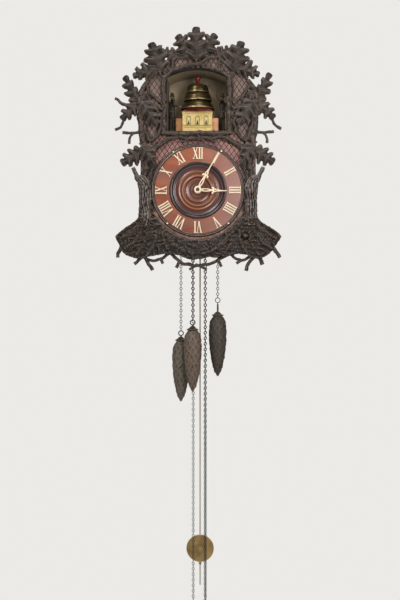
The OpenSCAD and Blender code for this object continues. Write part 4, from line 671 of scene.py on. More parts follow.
def carvedLeaf(base, tip, halfWidth, stem, shape, seed, halves):  # gives the blade and its stalk
    draw = random.Random(seed)
    base, tip = np.array(base, float), np.array(tip, float)
    length = np.linalg.norm(tip - base)
    along = (tip - base) / length
    across = np.cross(along, [0.0, -1.0, 0.0])
    across /= np.linalg.norm(across)
    out = np.cross(across, along)
    tips, outline = leaf[shape]
    smooth, lanes, steps = leaf["smooth"], leaf["lanes"], len(outline)
    rows = (steps - 1) * smooth + 1
    twist = [draw.uniform(-1, 1) for _ in range(4)]
    wide, high = leaf["unevenAcross"], leaf["unevenAlong"]
    edges = []
    for side in (0, 1):
        edges.append(splineThrough([
            (x * (1 + draw.uniform(-wide, wide)), z + (draw.uniform(-high, high) if 0 < i < steps - 2 else 0))
            for i, (x, z) in enumerate(outline)], smooth))

    def surface(side, i, k, top):
        edge, t, at = edges[side][i], k / lanes, i / smooth
        slant = leaf["footSlant"]
        foot = edge[1] * leaf["footLead"] - slant * (1 - i / (rows - 1)) - slant * edge[0]
        foot = max(0.0, min(leaf["footHighest"], foot))
        w, a = edge[0] * t * halves[side], foot + (edge[1] - foot) * t
        near = min(abs(at - p) for p in tips)
        lobe, vein = hump(near, leaf["lobeWidth"]), hump(near, leaf["veinWidth"])
        rise = leaf["vault"] * length * math.sin(math.pi * min(1, a + 0.05)) * (1 - 0.8 * t * t)
        rise += halfWidth * leaf["lobeRise"] * (lobe - 0.55) * math.sin(math.pi * min(t * 0.9, 1))
        rise += halfWidth * (leaf["twist"] * twist[(int(at) + side) % 4] - leaf["curl"]) * t * t
        rise += (1 if top else -1) * leaf["thick"] / 2 * (1 - leaf["thin"] * t ** 3)
        if top:
            mid = hump(w * halfWidth, leaf["midribWidth"])
            rise += leaf["midrib"] * mid * (1 - 0.6 * a) + leaf["vein"] * vein * (1 - t) ** 0.6 * (1 - mid)
            rise -= leaf["valley"] * hump(near - leaf["valleyAt"], leaf["valleyWidth"]) * math.sin(math.pi * t)
        gap, dark = hump(near - leaf["gapAt"], leaf["gapWidth"]) * math.sin(math.pi * t), leaf["shadeFrom"]
        shade = max(leaf["rimShade"] * (t - dark) / (1 - dark), leaf["gapShade"] * gap,
                    leaf["tipShade"] * (a - dark) / (1 - dark), 0.0 if top else leaf["backShade"])
        return base + length * a * along + (1 - 2 * side) * halfWidth * w * across + rise * out, shade

    verts, faces, shades, index = [], [], [], {}

    def vert(side, i, k, top):
        key = (side if k > 0 else 0, i, k, top)
        if k == lanes:
            key = (side, i, k, True)
        if i == rows - 1:
            key = (0, i, 0, top)
        if key not in index:
            index[key] = len(verts)
            p, shade = surface(*key)
            if k == lanes and i < rows - 1:
                p = (p + surface(side, i, k, False)[0]) / 2
            verts.append(p)
            shades.append(shade)
        return index[key]

    for side in (0, 1):
        for top in (True, False):
            for i in range(rows - 1):
                for k in range(lanes):
                    corners = ((i, k), (i, k + 1), (i + 1, k + 1), (i + 1, k))
                    ring = list(dict.fromkeys(vert(side, a, b, top) for a, b in corners))
                    if len(ring) > 2:
                        faces.append(ring)
    # one face closes the end at the stem
    walk = [(0, k, True) for k in range(lanes, -1, -1)] + [(1, k, True) for k in range(1, lanes + 1)]
    walk += [(1, k, False) for k in range(lanes - 1, -1, -1)] + [(0, k, False) for k in range(1, lanes)]
    faces.append([vert(side, 0, k, top) for side, k, top in walk])
    root = base - stem * along
    root[1] = boardFront + 1
    stalk = smoothTube([
        [*root, 2.8], [*(base - 0.3 * stem * along), 2.4], [*(base + 0.10 * length * along + 1.5 * out), 2.2],
        [*(base + 0.30 * length * along + 0.045 * length * out), 1.2]], 10, 5)
    return [(np.array(verts), faces, 0, np.array(shades)), stalk]


leafSpots = {  # (out, back, up) of the leaf's foot and of its tip, half width, stalk length and shape
    "crown": [
        (-4, -13, -30, -4, -28, 54, 30, 9, "fan"), (-12, -8, -22, -54, -14, 37, 29, 12, "fan"),
        (6, -8, -22, 46, -14, 39, 29, 12, "fan"), (-54, -6, -19, -97, -14, -4, 20, 12, "oak"),
        (50, -6, -19, 92, -14, 0, 20, 12, "oak")],
    -1: [(-52, -10, 90, -29, -22, 166, 32, 12, "fan"), (-50, -8, 100, 18, -18, 78, 30, 12, "fan"),
         (4, -8, 16, 38, -16, 83, 25, 22, "oak"), (4, -7, 12, 49, -15, -32, 23, 20, "oak"),
         (-6, -14, 14, -44, -24, -48, 25, 7, "oak"), (-5, -8, -114, 49, -16, -146, 25, 10, "oak"),
         (-4, -14, -100, -40, -22, -152, 22, 10, "oak"), (-16, -9, 40, 8, -15, -8, 15, 8, "oak")],
    1: [(-60, -10, 88, -37, -22, 167, 32, 12, "fan"), (-56, -8, 102, 9, -18, 80, 30, 12, "fan"),
        (0, -8, 18, 35, -16, 87, 25, 18, "oak"), (-1, -7, 14, 47, -15, -32, 24, 16, "oak"),
        (-6, -14, 14, -44, -24, -48, 25, 10, "oak"), (-5, -8, -112, 47, -16, -146, 25, 10, "oak"),
        (-4, -14, -98, -38, -22, -148, 22, 10, "oak"), (-18, -9, 42, 6, -15, -4, 15, 8, "oak")],
    "halves": {1: (1.0, 0.6), 2: (0.55, 1.0), 3: (1.0, 0.85)},  # how wide the upper and lower half of a leaf is
    "twigCover": 8, "twigs": [  # the second one is on the left only
        [(40, 0, -27, 3.4), (51, 0, -50, 3.4), (65.2, 0, -57, 4.0)],
        [(6, 0, 8, 4.6), (45, 0, 10, 4.2), (58, 0, 21, 3.6), (65.4, 0, 24, 4.0)]],
}


def leavesAt(rows, side, x, z, seed, halves):
    shells = []
    for i, (out0, back0, up0, out1, back1, up1, wide, stem, shape) in enumerate(rows):
        base, tip = (x + side * out0, boardFront + back0, z + up0), (x + side * out1, boardFront + back1, z + up1)
        shells += carvedLeaf(base, tip, wide, stem, shape, seed + i, halves.get(i, (1, 1))[::-side])
    return shells


def buildLeaves():
    crown = leavesAt(leafSpots["crown"], 1, 0, place["archZ"] + place["boardR"], 100, {})
    makePiece("crownLeaves", crown, "leaf", 55, "crown_leaves")
    for s, name, node in ((-1, "leavesLeft", "leaves_left"), (1, "leavesRight", "leaves_right")):
        edge = s * place["boardR"]
        shells = leavesAt(leafSpots[s], s, edge, place["archZ"], 120 + 10 * s, leafSpots["halves"])
        for i, rows in enumerate(leafSpots["twigs"][:2 if s < 0 else 1]):
            twig = laid(rows, s, edge, boardFront - leafSpots["twigCover"], place["archZ"])
            verts, faces, slots, shade = barkBranch(twig, 90 + 3 * s + i)
            shells.append((verts, faces, [1 + slot for slot in slots], shade))
        makePiece(name, shells, "leaf bark cut", 55, node)


# Lattice of diamond tiles over the front board

lattice = {"wide": 13.4, "tall": 19.4, "line": 1.6, "rise": 1.0, "edge": 0.88, "middleZ": -6.0, "inset": 1.2,
           "foot": -438.0, "rows": (-48, 12), "columns": (-13, 14), "farX": 160, "lowZ": -446, "highZ": 62,
           "dialGap": 117, "least": 2.2, "sunk": 0.3, "shoulder": 0.55, "peak": 0.15, "paneX": 108,
           "paneZ": (-262, -166)}


def clipConvex(poly, outline):  # keeps what lies inside a counterclockwise convex outline
    for (ax, az), (bx, bz) in zip(outline, outline[1:] + outline[:1]):
        kept = []
        for i, p in enumerate(poly):
            q = poly[i - 1]
            dp = (bx - ax) * (p[1] - az) - (bz - az) * (p[0] - ax)
            dq = (bx - ax) * (q[1] - az) - (bz - az) * (q[0] - ax)
            if (dp >= 0) != (dq >= 0):
                t = dq / (dq - dp)
                kept.append((q[0] + t * (p[0] - q[0]), q[1] + t * (p[1] - q[1])))
            if dp >= 0:
                kept.append(p)
        poly = kept
        if len(poly) < 3:
            return []
    return poly


def inNiche(x, z, grow):
    half, sag = place["nicheHalf"], place["nicheTop"] - place["nicheSide"]
    dx, r = x - place["nicheX"], (half ** 2 + sag ** 2) / (2 * sag) + grow  # r is the arch's radius
    return (abs(dx) < half + grow and z > place["nicheFloor"] - grow
            and (z < place["nicheSide"] or dx * dx + (z - place["nicheTop"] - grow + r) ** 2 < r * r))


def buildLattice():
    r, wide, tall = place["boardR"] - lattice["inset"], lattice["wide"], lattice["tall"]
    outline = [(r * math.cos(math.pi * i / 72), place["archZ"] + r * math.sin(math.pi * i / 72)) for i in range(73)]
    outline += [(-r, lattice["foot"]), (r, lattice["foot"])]
    shrink = 1 - lattice["line"] / 2 / (wide / 2 * tall / 2 / math.hypot(wide / 2, tall / 2))
    a, b = wide / 2 * shrink, tall / 2 * shrink
    shells = ([], [])
    draw = random.Random(5)
    for j in range(*lattice["rows"]):
        for i in range(*lattice["columns"]):
            cx, cz = wide * (i + 0.5 * (j % 2)), lattice["middleZ"] + tall / 2 * j
            if abs(cx) > lattice["farX"] or not lattice["lowZ"] <= cz <= lattice["highZ"]:
                continue
            cell = clipConvex([(cx + a, cz), (cx, cz + b), (cx - a, cz), (cx, cz - b)], outline)
            if len(cell) < 3 or any(inNiche(x, z, 1.0) for x, z in cell):
                continue
            if max(math.hypot(x, z - dialZ) for x, z in cell) < lattice["dialGap"]:
                continue
            cell = np.array(cell)
            middle = cell.mean(axis=0)
            reach = np.linalg.norm(cell - middle, axis=1)[:, None]
            if reach.max() < lattice["least"]:
                continue
            rise, n = lattice["rise"] * draw.uniform(0.8, 1.2), len(cell)
            inner = middle + (cell - middle) * np.maximum(0.3, 1 - lattice["edge"] / reach)
            levels = [(cell, -lattice["sunk"]), (cell, lattice["shoulder"] * rise), (inner, rise)]
            rings = [np.column_stack([flat[:, 0], np.full(n, boardFront - up), flat[:, 1]]) for flat, up in levels]
            verts = np.vstack(rings + [[middle[0], boardFront - rise - lattice["peak"], middle[1]]])
            faces = tubeFaces(3, n) + [list(range(n))[::-1]]
            faces += [[2 * n + k, 2 * n + (k + 1) % n, 3 * n] for k in range(n)]
            pinkPane = lattice["paneZ"][0] < cz < lattice["paneZ"][1] and abs(cx) < lattice["paneX"]
            shells[1 if pinkPane else 0].append((verts, faces, 0))
    for tiles, name, look in zip(shells, ("latticeTiles", "latticePanes"), ("tile", "tilePink")):
        attach(meshOf(name, tiles, look))


# Base carving: a thick carved board with roots, gouges and twigs

baseForm = {
    "edges": {  # (out from the board's edge, up from the case's foot)
        -1: [(4, 84), (19, 70), (37, 58), (54, 44), (64, 34), (60, 24), (55, 13), (50, 0), (37, -13), (14, -21),
             (-4, -23)],
        1: [(4, 84), (16, 70), (36, 58), (54, 46), (66, 34), (59, 22), (51, 10), (37, -9), (16, -21), (-10, -23)]},
    "under": [(-125, -17), (-104, -14), (-83, -10), (-60, -12), (-39, -19), (-16, -26), (5, -25), (26, -19),
              (47, -21), (62, -18), (83, -16), (101, -12), (125, -13)],
    "edgeRound": 7.0, "edgeDrop": 5.0, "cutFrom": -9, "cutTo": 7.6, "rootLift": 1.2, "rootSink": 2.2,
    "rootTaper": (1.15, 0.5), "strands": (0.25, 2.4, 9), "swayWave": 0.03, "sway": 6, "ridgeWave": (0.055, 0.09),
    "ridgeDeep": 2.4, "ridges": 2.2, "pitWave": 0.20, "pits": 1.5, "fineWave": (0.45, 0.32), "lowered": 1.2,
    "thick": 24.0, "sunk": 0.6, "voxel": 1.55, "arc": 130.0, "arcZ": -384, "foremost": -215.2, "ragged": 3.2,
    "roots": [  # (points as out from the edge and height, width, height) on both sides
        ([(-4, -384), (14, -396), (36, -409), (54, -424), (61, -434)], 6.0, 7.0),
        ([(-10, -386), (8, -410), (30, -428), (50, -440), (46, -452)], 6.0, 6.0),
        ([(-16, -388), (-2, -425), (18, -452), (38, -464)], 5.5, 6.0),
        ([(-26, -392), (-20, -430), (-6, -462), (8, -480)], 6.0, 5.5),
        ([(-44, -404), (-42, -436), (-34, -462), (-18, -482)], 5.0, 4.5),
        ([(-70, -432), (-84, -452), (-112, -470), (-136, -478)], 5.5, 4.5),
        ([(-60, -424), (-64, -452), (-78, -474)], 4.5, 3.5)],
    "gouges": [  # (x, z, half width, half height, depth, slant, closeness)
        (-172, -458, 24, 17, 0.9, 0.55, 0.95), (178, -440, 22, 18, 0.8, -0.8, 0.8)],
    "knob": (122, -434, 4.0, 5.5), "grass": (-98, -432, 15, 13, 2.2, 11),
    "twigCover": 8, "twigs": [  # (x, z, radius)
        [(-200, -462, 5), (-207, -476, 4.2), (-209, -487, 4.6)],
        [(-143, -484, 4.6), (-156, -497, 4), (-165, -504, 4.4)],
        [(-142, -482, 5), (-128, -503, 4.6), (-118, -520, 4.8)],
        [(-148, -482, 4), (-119, -497, 3.6), (-95, -490, 3.8), (-70, -474, 4.2)],
        [(-98, -490, 3.6), (-91, -503, 3.8)],
        [(-76, -472, 4.4), (-52, -494, 4.2), (-31, -505, 4.2), (5, -507, 4), (39, -501, 4), (62, -488, 4.2),
         (88, -474, 4.4)],
        [(-48, -496, 4), (-56, -514, 4.2)], [(-2, -506, 3.2), (-22, -519, 3.4)], [(-6, -505, 3.2), (23, -519, 3.2)],
        [(53, -494, 3.6), (61, -511, 3.8)], [(86, -480, 4), (109, -496, 3.6), (130, -488, 3.8), (146, -476, 4)],
        [(116, -494, 3.4), (100, -503, 3.8)], [(152, -480, 5), (132, -502, 4.4), (125, -522, 4.8)],
        [(158, -482, 5.4), (167, -506, 5)], [(196, -464, 5), (206, -478, 4.6), (212, -488, 4.8)]],
    "rim": [(121.9, 0), (121.9, 9.5), (123.2, 11.0), (128.4, 11.6), (131.6, 9.8), (132.4, 0)],
    "rimTurn": (-153, -27), "rimSteps": 90,
}


def farFrom(points, line):  # distance from each point to a polyline, and the share along it, in the plane
    best, share, total = np.full(len(points), 1e9), np.zeros(len(points)), len(line) - 1
    for i in range(total):
        a, b = np.array(line[i], float), np.array(line[i + 1], float)
        if (a == b).all():
            continue
        t = np.clip(((points - a) @ (b - a)) / ((b - a) @ (b - a)), 0, 1)
        d = np.linalg.norm(points - (a + t[:, None] * (b - a)), axis=1)
        closer = d < best
        best[closer] = d[closer]
        share[closer] = (i + t[closer]) / total
    return best, share


def hill(distance, width):
    return np.exp(-(distance / width) ** 2)


def buildBase():
    edge, foot, arc = place["boardR"], place["caseBottom"], baseForm["arc"]
    left, right = ([(s * (edge + out), foot + up) for out, up in baseForm["edges"][s]] for s in (-1, 1))
    rim = splineThrough(left + [(x, foot + up) for x, up in baseForm["under"]] + right[::-1], 8)
    wave = np.array([noise.noise((x * 0.09, z * 0.09, 3.0)) + 0.6 * noise.noise((x * 0.25, z * 0.25, 8.0))
                     for x, z in rim])
    flow = np.gradient(rim, axis=0)
    flow /= np.linalg.norm(flow, axis=1)[:, None]
    rim = rim + np.column_stack([flow[:, 1], -flow[:, 0]]) * (-baseForm["ragged"] * np.abs(wave))[:, None]
    start = math.asin((baseForm["arcZ"] - dialZ) / arc)
    outline = [tuple(p) for p in rim]
    outline += [(arc * math.cos(a), dialZ + arc * math.sin(a)) for a in np.linspace(start, -math.pi - start, 60)]
    n, back, front = len(outline), boardFront + baseForm["sunk"], boardFront - baseForm["thick"]
    verts = np.array([(x, y, z) for y in (back, front) for x, z in outline])
    faces = [list(range(n)), [n + k for k in range(n)][::-1]]
    faces += [[k, (k + 1) % n, n + (k + 1) % n, n + k] for k in range(n)]
    piece = fused(meshOf("baseCarving", [(verts, faces, 0)], "base"), baseForm["voxel"], 1)
    co = pointsOf(piece.data)
    x, y, z = co.T.copy()
    plane = co[:, [0, 2]]
    deep = np.clip((back - y) / (back - front), 0, 1)  # 0 at the back, 1 at the front face
    rimGap, _ = farFrom(plane, [tuple(p) for p in rim[::3]] + [tuple(rim[-1])])
    inward = 1 - np.exp(-rimGap / baseForm["edgeRound"])
    relief = baseForm["edgeDrop"] * (inward - 1)
    (weight, ridgesOut, ridgesAlong), (thick, taper) = baseForm["strands"], baseForm["rootTaper"]
    lift = baseForm["rootLift"]
    for s in (-1, 1):
        for line, width, height in baseForm["roots"]:
            gap, share = farFrom(plane, [(s * (edge + out), up) for out, up in line])
            strand = 1 - weight + weight * np.sin(gap * ridgesOut + share * ridgesAlong)
            ridge = (height + lift) * hill(gap, width * (thick - taper * share)) * strand
            relief = np.maximum(relief, ridge - baseForm["rootSink"] + lift * inward)
    rough = np.zeros(len(co))
    slow, pit = baseForm["swayWave"], baseForm["pitWave"]
    (ridgeX, ridgeZ), (fineX, fineZ) = baseForm["ridgeWave"], baseForm["fineWave"]
    for i, (px, pz) in enumerate(plane):
        sway = noise.noise((px * slow, pz * slow, 0.5)) * baseForm["sway"]
        ridged = noise.noise((px * ridgeX + sway * 0.15, pz * ridgeZ, 1.0))
        rough[i] = baseForm["ridges"] * (1 - abs(ridged) * baseForm["ridgeDeep"])
        rough[i] += baseForm["pits"] * noise.noise((px * pit, pz * pit, 2.0))
        rough[i] += noise.noise((px * fineX + sway, pz * fineZ, 4.0))
    for atX, atZ, wide, tall, cut, slant, close in baseForm["gouges"]:
        rough += hill(x - atX, wide) * hill(z - atZ, tall) * cut * np.sin((x + z * slant) * close)
    atX, atZ, height, width = baseForm["knob"]
    knob = np.hypot(x - atX, z - atZ)
    rough += height * hill(knob, width) - 3.0 * hill(knob - 9, 2.4)
    atX, atZ, wide, tall, cut, blades = baseForm["grass"]
    fan = np.abs(np.sin(np.arctan2(z - atZ + 20, x - atX) * blades))
    rough += hill(x - atX, wide) * hill(z - atZ, tall) * cut * fan
    push = np.clip(relief + rough - baseForm["lowered"], baseForm["cutFrom"], baseForm["cutTo"])
    push *= np.clip((deep - 0.25) / 0.75, 0, 1)
    co[:, 1] = np.maximum(y - push, baseForm["foremost"])
    side = (deep > 0.05) & (deep < 0.95)
    co[side, 2] += 0.9 * np.sin(x[side] * 0.5) * np.sin(co[side, 1] * 0.7)
    piece.data.vertices.foreach_set("co", (co * mm).ravel())
    # painted shade: the sunk parts of the front face are darker, and the back half is half dark
    low = np.clip((2.6 - push) / 4.5, 0, 1) * (deep > 0.5) + 0.5 * (deep <= 0.5)
    note(piece.data, "groove", "FLOAT", "value", low)
    piece.data.update()
    shadeByAngle(piece, 65)
    attach(piece, "base_carving")

    twigs = [[[px, boardFront - baseForm["twigCover"], pz, r] for px, pz, r in line] for line in baseForm["twigs"]]
    barkPiece("baseTwigs", twigs, 140, sides=(20,), gap=2.2)

    ring, profile = [], baseForm["rim"]  # the paler rim that shows between the dial's moulding and the carving
    for a in np.linspace(*np.radians(baseForm["rimTurn"]), baseForm["rimSteps"]):
        notch = 1.0 + 0.014 * noise.noise((a * 14, 0, 0))
        for r, h in profile:
            up = h * (1.0 + 0.10 * noise.noise((a * 22, r, 0)))
            ring.append((r * notch * math.cos(a), boardFront - up, dialZ + r * notch * math.sin(a)))
    k = len(profile)
    faces = tubeFaces(baseForm["rimSteps"], k) + [list(range(k))[::-1], list(range(len(ring) - k, len(ring)))]
    makePiece("dialRim", [(np.array(ring), faces, 0)], "rim", 40)


# Dial moulding, turned centre and hands: profiles are (radius, height over the board)

dial = {
    "moulding": [
        (113.0, 0), (113.0, 9.6), (113.5, 11.2), (114.5, 12.0), (115.6, 11.6), (116.1, 10.2), (116.4, 9.4),
        (116.9, 9.4), (117.2, 11.0), (118.0, 12.7), (119.0, 12.9), (119.8, 12.0), (120.1, 10.0), (120.5, 9.6),
        (121.0, 10.4), (121.5, 9.4), (121.5, 0)],
    "highlitRidges": (3, 8, 9, 14),  # the ridge tops of the moulding, with a painted highlight
    "centre": [
        (6.2, 0), (6.2, 6.0), (9, 6.6), (10, 6.2), (18, 6.4), (18.6, 7.0), (19.6, 7.0), (20.2, 6.4), (29, 6.6),
        (30, 7.4), (31.4, 7.4), (32.2, 6.2), (33, 7.2), (34.6, 7.9), (36.4, 7.9), (38.0, 6.6), (39.6, 6.2),
        (41.0, 7.0), (42.4, 6.8), (45.5, 6.0), (47.5, 6.3), (49.0, 7.3), (51.0, 7.3), (52.2, 6.4), (58.5, 6.2),
        (61.5, 7.2), (63.0, 8.4), (64.4, 8.6), (65.4, 7.8), (66.0, 7.0), (68.0, 8.6), (70.6, 10.0), (73.2, 9.6),
        (74.7, 8.2), (74.7, 0)],
}
hands = {
    "thick": 2.0, "edge": 0.35, "pair": [  # name, length, height of the mark, turn, front y, body, node, bore
        ("minuteHand", 111.0, 47.0, 29.0, -205.2, "minute", "minute_hand", 2.56),
        ("hourHand", 76.0, 45.0, 92.5, -201.0, "hour", "hour_hand", 5.05)],
    "stem": [(2.4, 8.2), (3.6, 14), (4.1, 20), (3.4, 27)],
    "mark": [(2.1, -10), (1.9, -6.5), (4.2, -6.8), (7.2, -9.2), (8.6, -7.2), (7.6, -4.2), (5.2, -3.0), (3.4, -2.2),
             (4.2, 1.2), (3.2, 4.4), (1.9, 6.8), (2.3, 9.6), (1.5, 12.6), (1.15, 18)],
    "hole": [(0, 12.4), (1.3, 15), (1.9, 20), (1.3, 26)], "holeTop": -13, "eye": (1.7, 3.0, 0.6),
    "hub": [(6.6, 2.4), (8.4, 2.1), (9.4, 1.2), (9.4, 0.2), (9.0, 0)],
}


def buildDial():
    profile = dial["moulding"]
    slots = [1 if i in dial["highlitRidges"] else 0 for i in range(len(profile))]
    ring = lathe(profile, (0, boardFront, dialZ), 180, "y", slots)
    makePiece("dialMoulding", [ring], "moulding mouldingLight", 50, "dial_moulding")
    makePiece("dialCentre", [turned(dial["centre"], (0, boardFront, dialZ), 160, axis="y")], "dialCentre", 45,
              "dial_centre")


def cutPlate(name, outlines, thick, edge, look, yFront, turn=0.0, centre=(0, 0)):  # outer outline first, then holes
    shape = bpy.data.curves.new(name, "CURVE")
    shape.dimensions, shape.fill_mode = "2D", "BOTH"
    shape.extrude, shape.bevel_depth, shape.bevel_resolution = (thick / 2 - edge) * mm, edge * mm, 1
    for outline in outlines:
        line = shape.splines.new("POLY")
        line.points.add(len(outline) - 1)
        for point, (x, z) in zip(line.points, outline):
            point.co = (x * mm, z * mm, 0, 1)
        line.use_cyclic_u = True
    made = inScene(name, shape)
    bpy.context.view_layer.update()
    mesh = bpy.data.meshes.new_from_object(made.evaluated_get(bpy.context.evaluated_depsgraph_get()))
    bpy.data.objects.remove(made)
    x, z, up = pointsOf(mesh).T
    ca, sa = math.cos(turn), math.sin(turn)
    placed = np.column_stack([centre[0] + x * ca + z * sa, yFront + thick / 2 - up, centre[1] - x * sa + z * ca])
    mesh.vertices.foreach_set("co", (placed * mm).ravel())
    pointOutward(mesh, 0.00001)
    mesh.materials.clear()
    mesh.materials.append(looks[look])
    return inScene(name, mesh)


def handOutline(length, mark):
    right = splineThrough(hands["stem"] + [(x, mark + z) for x, z in hands["mark"]] + [(0.6, length - 1.5)], 4)
    hole = splineThrough(hands["hole"] + [(0, mark + hands["holeTop"])], 4)
    wide, tall, up = hands["eye"]
    eye = [(wide * math.cos(a), mark + up + tall * math.sin(a)) for a in around(13)]
    return [[tuple(p) for p in right] + [(0, length)] + [(-x, z) for x, z in right[::-1]],
            [tuple(p) for p in hole] + [(-x, z) for x, z in hole[-2:0:-1]], eye]


def buildHands():
    for name, length, mark, degrees, yFront, body, node, bore in hands["pair"]:
        blade = cutPlate(name + "Blade", handOutline(length, mark), hands["thick"], hands["edge"], "bone", yFront,
                         math.radians(degrees), (0, dialZ))
        inner = max(4.4, bore + 0.6)
        rings = [(bore, 0), (bore, 0.9), (inner, 0.9), (inner + 0.3, 1.8)] + hands["hub"]
        hub = lathe(rings, (0, yFront + 2.0, dialZ), 48, "y", [1, 1] + [0] * 7)
        piece = joined([blade, meshOf(name + "Hub", [hub], "bone moulding")], name)
        shadeByAngle(piece, 35)
        attach(piece, node, body)


# Geometry Nodes: trees with named inputs that repeat one shape over points

def openTree(name, sizes):
    tree = bpy.data.node_groups.new(name, "GeometryNodeTree")
    kinds = {int: "NodeSocketInt", float: "NodeSocketFloat", type(None): "NodeSocketObject"}
    tree.interface.new_socket("Geometry", in_out="INPUT", socket_type="NodeSocketGeometry")
    for key, value in sizes.items():
        made = tree.interface.new_socket(key, in_out="INPUT", socket_type=kinds[type(value)])
        if value is not None:
            made.default_value = value
    tree.interface.new_socket("Geometry", in_out="OUTPUT", socket_type="NodeSocketGeometry")
    return tree, addNode(tree, "NodeGroupInput").outputs


def finishTree(tree, points, instance, look, scale=None):
    def noted(name):
        return fromNode(tree, "GeometryNodeInputNamedAttribute", "Attribute", {"Name": name},
                        data_type="FLOAT_VECTOR")

    sockets = {"Points": points, "Instance": instance,
               "Rotation": fromNode(tree, "FunctionNodeEulerToRotation", 0, {0: noted("turn")})}
    if scale:
        sockets["Scale"] = noted(scale)
    copies = fromNode(tree, "GeometryNodeInstanceOnPoints", "Instances", sockets)
    real = fromNode(tree, "GeometryNodeRealizeInstances", "Geometry", {"Geometry": copies})
    coloured = fromNode(tree, "GeometryNodeSetMaterial", "Geometry", {"Geometry": real, "Material": look})
    addNode(tree, "NodeGroupOutput", {"Geometry": coloured})
    return tree


def linkTree():
    tree, sizes = openTree("chainLinks", {
        "Link Length": 0.0089, "Link Width": 0.007, "Wire": 0.0015, "Corners": 2, "Sides": 5})

    def sums(kind, first, second):
        return fromNode(tree, "ShaderNodeMath", 0, {0: first, 1: second}, operation=kind)

    half = sums("MULTIPLY", sizes["Wire"], 0.5)
    tall = sums("SUBTRACT", sizes["Link Length"], sizes["Wire"])
    wide = sums("SUBTRACT", sizes["Link Width"], sizes["Wire"])
    outline = fromNode(tree, "GeometryNodeCurvePrimitiveQuadrilateral", "Curve", {"Width": wide, "Height": tall})
    loop = fromNode(tree, "GeometryNodeFilletCurve", "Curve", {
        "Curve": outline,
        "Radius": sums("MULTIPLY", wide, chains["endRound"]), "Count": sizes["Corners"]}, mode="POLY")
    wire = fromNode(tree, "GeometryNodeCurvePrimitiveCircle", "Curve", {
        "Resolution": sizes["Sides"], "Radius": half})
    link = fromNode(tree, "GeometryNodeCurveToMesh", "Mesh", {"Curve": loop, "Profile Curve": wire})
    return finishTree(tree, sizes["Geometry"], link, looks["chain"])


def shapeTree(name, look, seed):
    tree, sizes = openTree(name, {"Shape": None, "Seed": seed})
    shape = fromNode(tree, "GeometryNodeObjectInfo", "Geometry", {"Object": sizes["Shape"]})
    return finishTree(tree, sizes["Geometry"], shape, looks[look], "size")


def pointsPiece(name, spots, turns, scales=None):
    mesh = bpy.data.meshes.new(name)
    mesh.from_pydata([tuple(np.array(p) * mm) for p in spots], [], [])
    note(mesh, "turn", "FLOAT_VECTOR", "vector", turns)
    if scales is not None:
        note(mesh, "size", "FLOAT_VECTOR", "vector", scales)
    return inScene(name, mesh)


def repeated(made, tree, **sizes):
    modifier = made.modifiers.new("repeat", "NODES")
    modifier.node_group = tree
    for item in tree.interface.items_tree:
        if item.item_type == "SOCKET" and item.in_out == "INPUT" and item.name in sizes:
            modifier[item.identifier] = sizes[item.name]
    settle(made)
    pointOutward(made.data, 0.000005)
    return made


# Chains and pine cone weights

chains = {
    "pitch": 7.4, "wire": 1.9, "linkWidth": 7.9, "linkLength": 9.3, "endRound": 0.499, "seat": 0.95,
    "outerY": -95.0, "middleY": -127.0, "overWheel": 7, "wheels": ((-2, "outerY"), (0, "middleY"), (2, "outerY")),
    "endRing": 8, "endWire": 1, "runs": [  # name, wheel sides out, depth, links, body, node
        ("chainLeft", -3, "outerY", 45, "left_weight", "chain_left"),
        ("chainMiddle", -1, "middleY", 41, "middle_weight", "chain_middle"),
        ("chainRight", 3, "outerY", 33, "right_weight", "chain_right"),
        ("freeChainLeft", -1, "outerY", 149, "left_free", "free_chain_left"),
        ("freeChainMiddle", 1, "middleY", 153, "middle_free", "free_chain_middle"),
        ("freeChainRight", 1, "outerY", 161, "right_free", "free_chain_right")]}
wheelR = chains["overWheel"] * chains["pitch"] / math.pi
quarter = math.pi / 2


def wireRing(x, y, z, r, wire, slot=0):
    points = [[x + r * math.cos(a), y, z + r * math.sin(a), wire] for a in around(32)]
    return smoothTube(points, 10, closed=True, slot=slot)


def endRingZ(links, r, wire):
    lowest = place["timeZ"] - (links - 0.5) * chains["pitch"] - chains["linkLength"] / 2
    return lowest + chains["seat"] + wire - r


def buildChains():
    tree, timeZ = linkTree(), place["timeZ"]
    sizes = {label: chains[key] * mm for label, key in (
        ("Link Length", "linkLength"), ("Link Width", "linkWidth"), ("Wire", "wire"))}
    for name, side, depth, links, body, node in chains["runs"]:
        x, y = side * wheelR, chains[depth]
        spots = [(x, y, timeZ - (k + 0.5) * chains["pitch"]) for k in range(links)]
        turns = [(quarter, 0, 0 if k % 2 else quarter) for k in range(links)]
        piece = repeated(pointsPiece(name, spots, turns), tree, **sizes)
        if name.startswith("free"):
            r, wire = chains["endRing"], chains["endWire"]
            ring = meshOf(name + "Ring", [wireRing(x, y, endRingZ(links, r, wire), r, wire)], "chain")
            piece = joined([piece, ring], name)
        shadeByAngle(piece, None)
        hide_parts(node)
        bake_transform(piece)
    spots, turns = [], []
    for side, depth in chains["wheels"]:
        for j in range(chains["overWheel"]):
            a = (j + 0.5) * math.pi / chains["overWheel"]
            spots.append((side * wheelR + wheelR * math.cos(a), chains[depth], timeZ + wheelR * math.sin(a)))
            across = Matrix.Rotation(quarter if j % 2 else 0, 3, "Z") @ Matrix.Rotation(quarter, 3, "X")
            turns.append(tuple((Matrix.Rotation(-a, 3, "Y") @ across).to_euler()))
    piece = repeated(pointsPiece("chainWraps", spots, turns), tree, **sizes)
    shadeByAngle(piece, None)
    attach(piece, "chain_wraps")


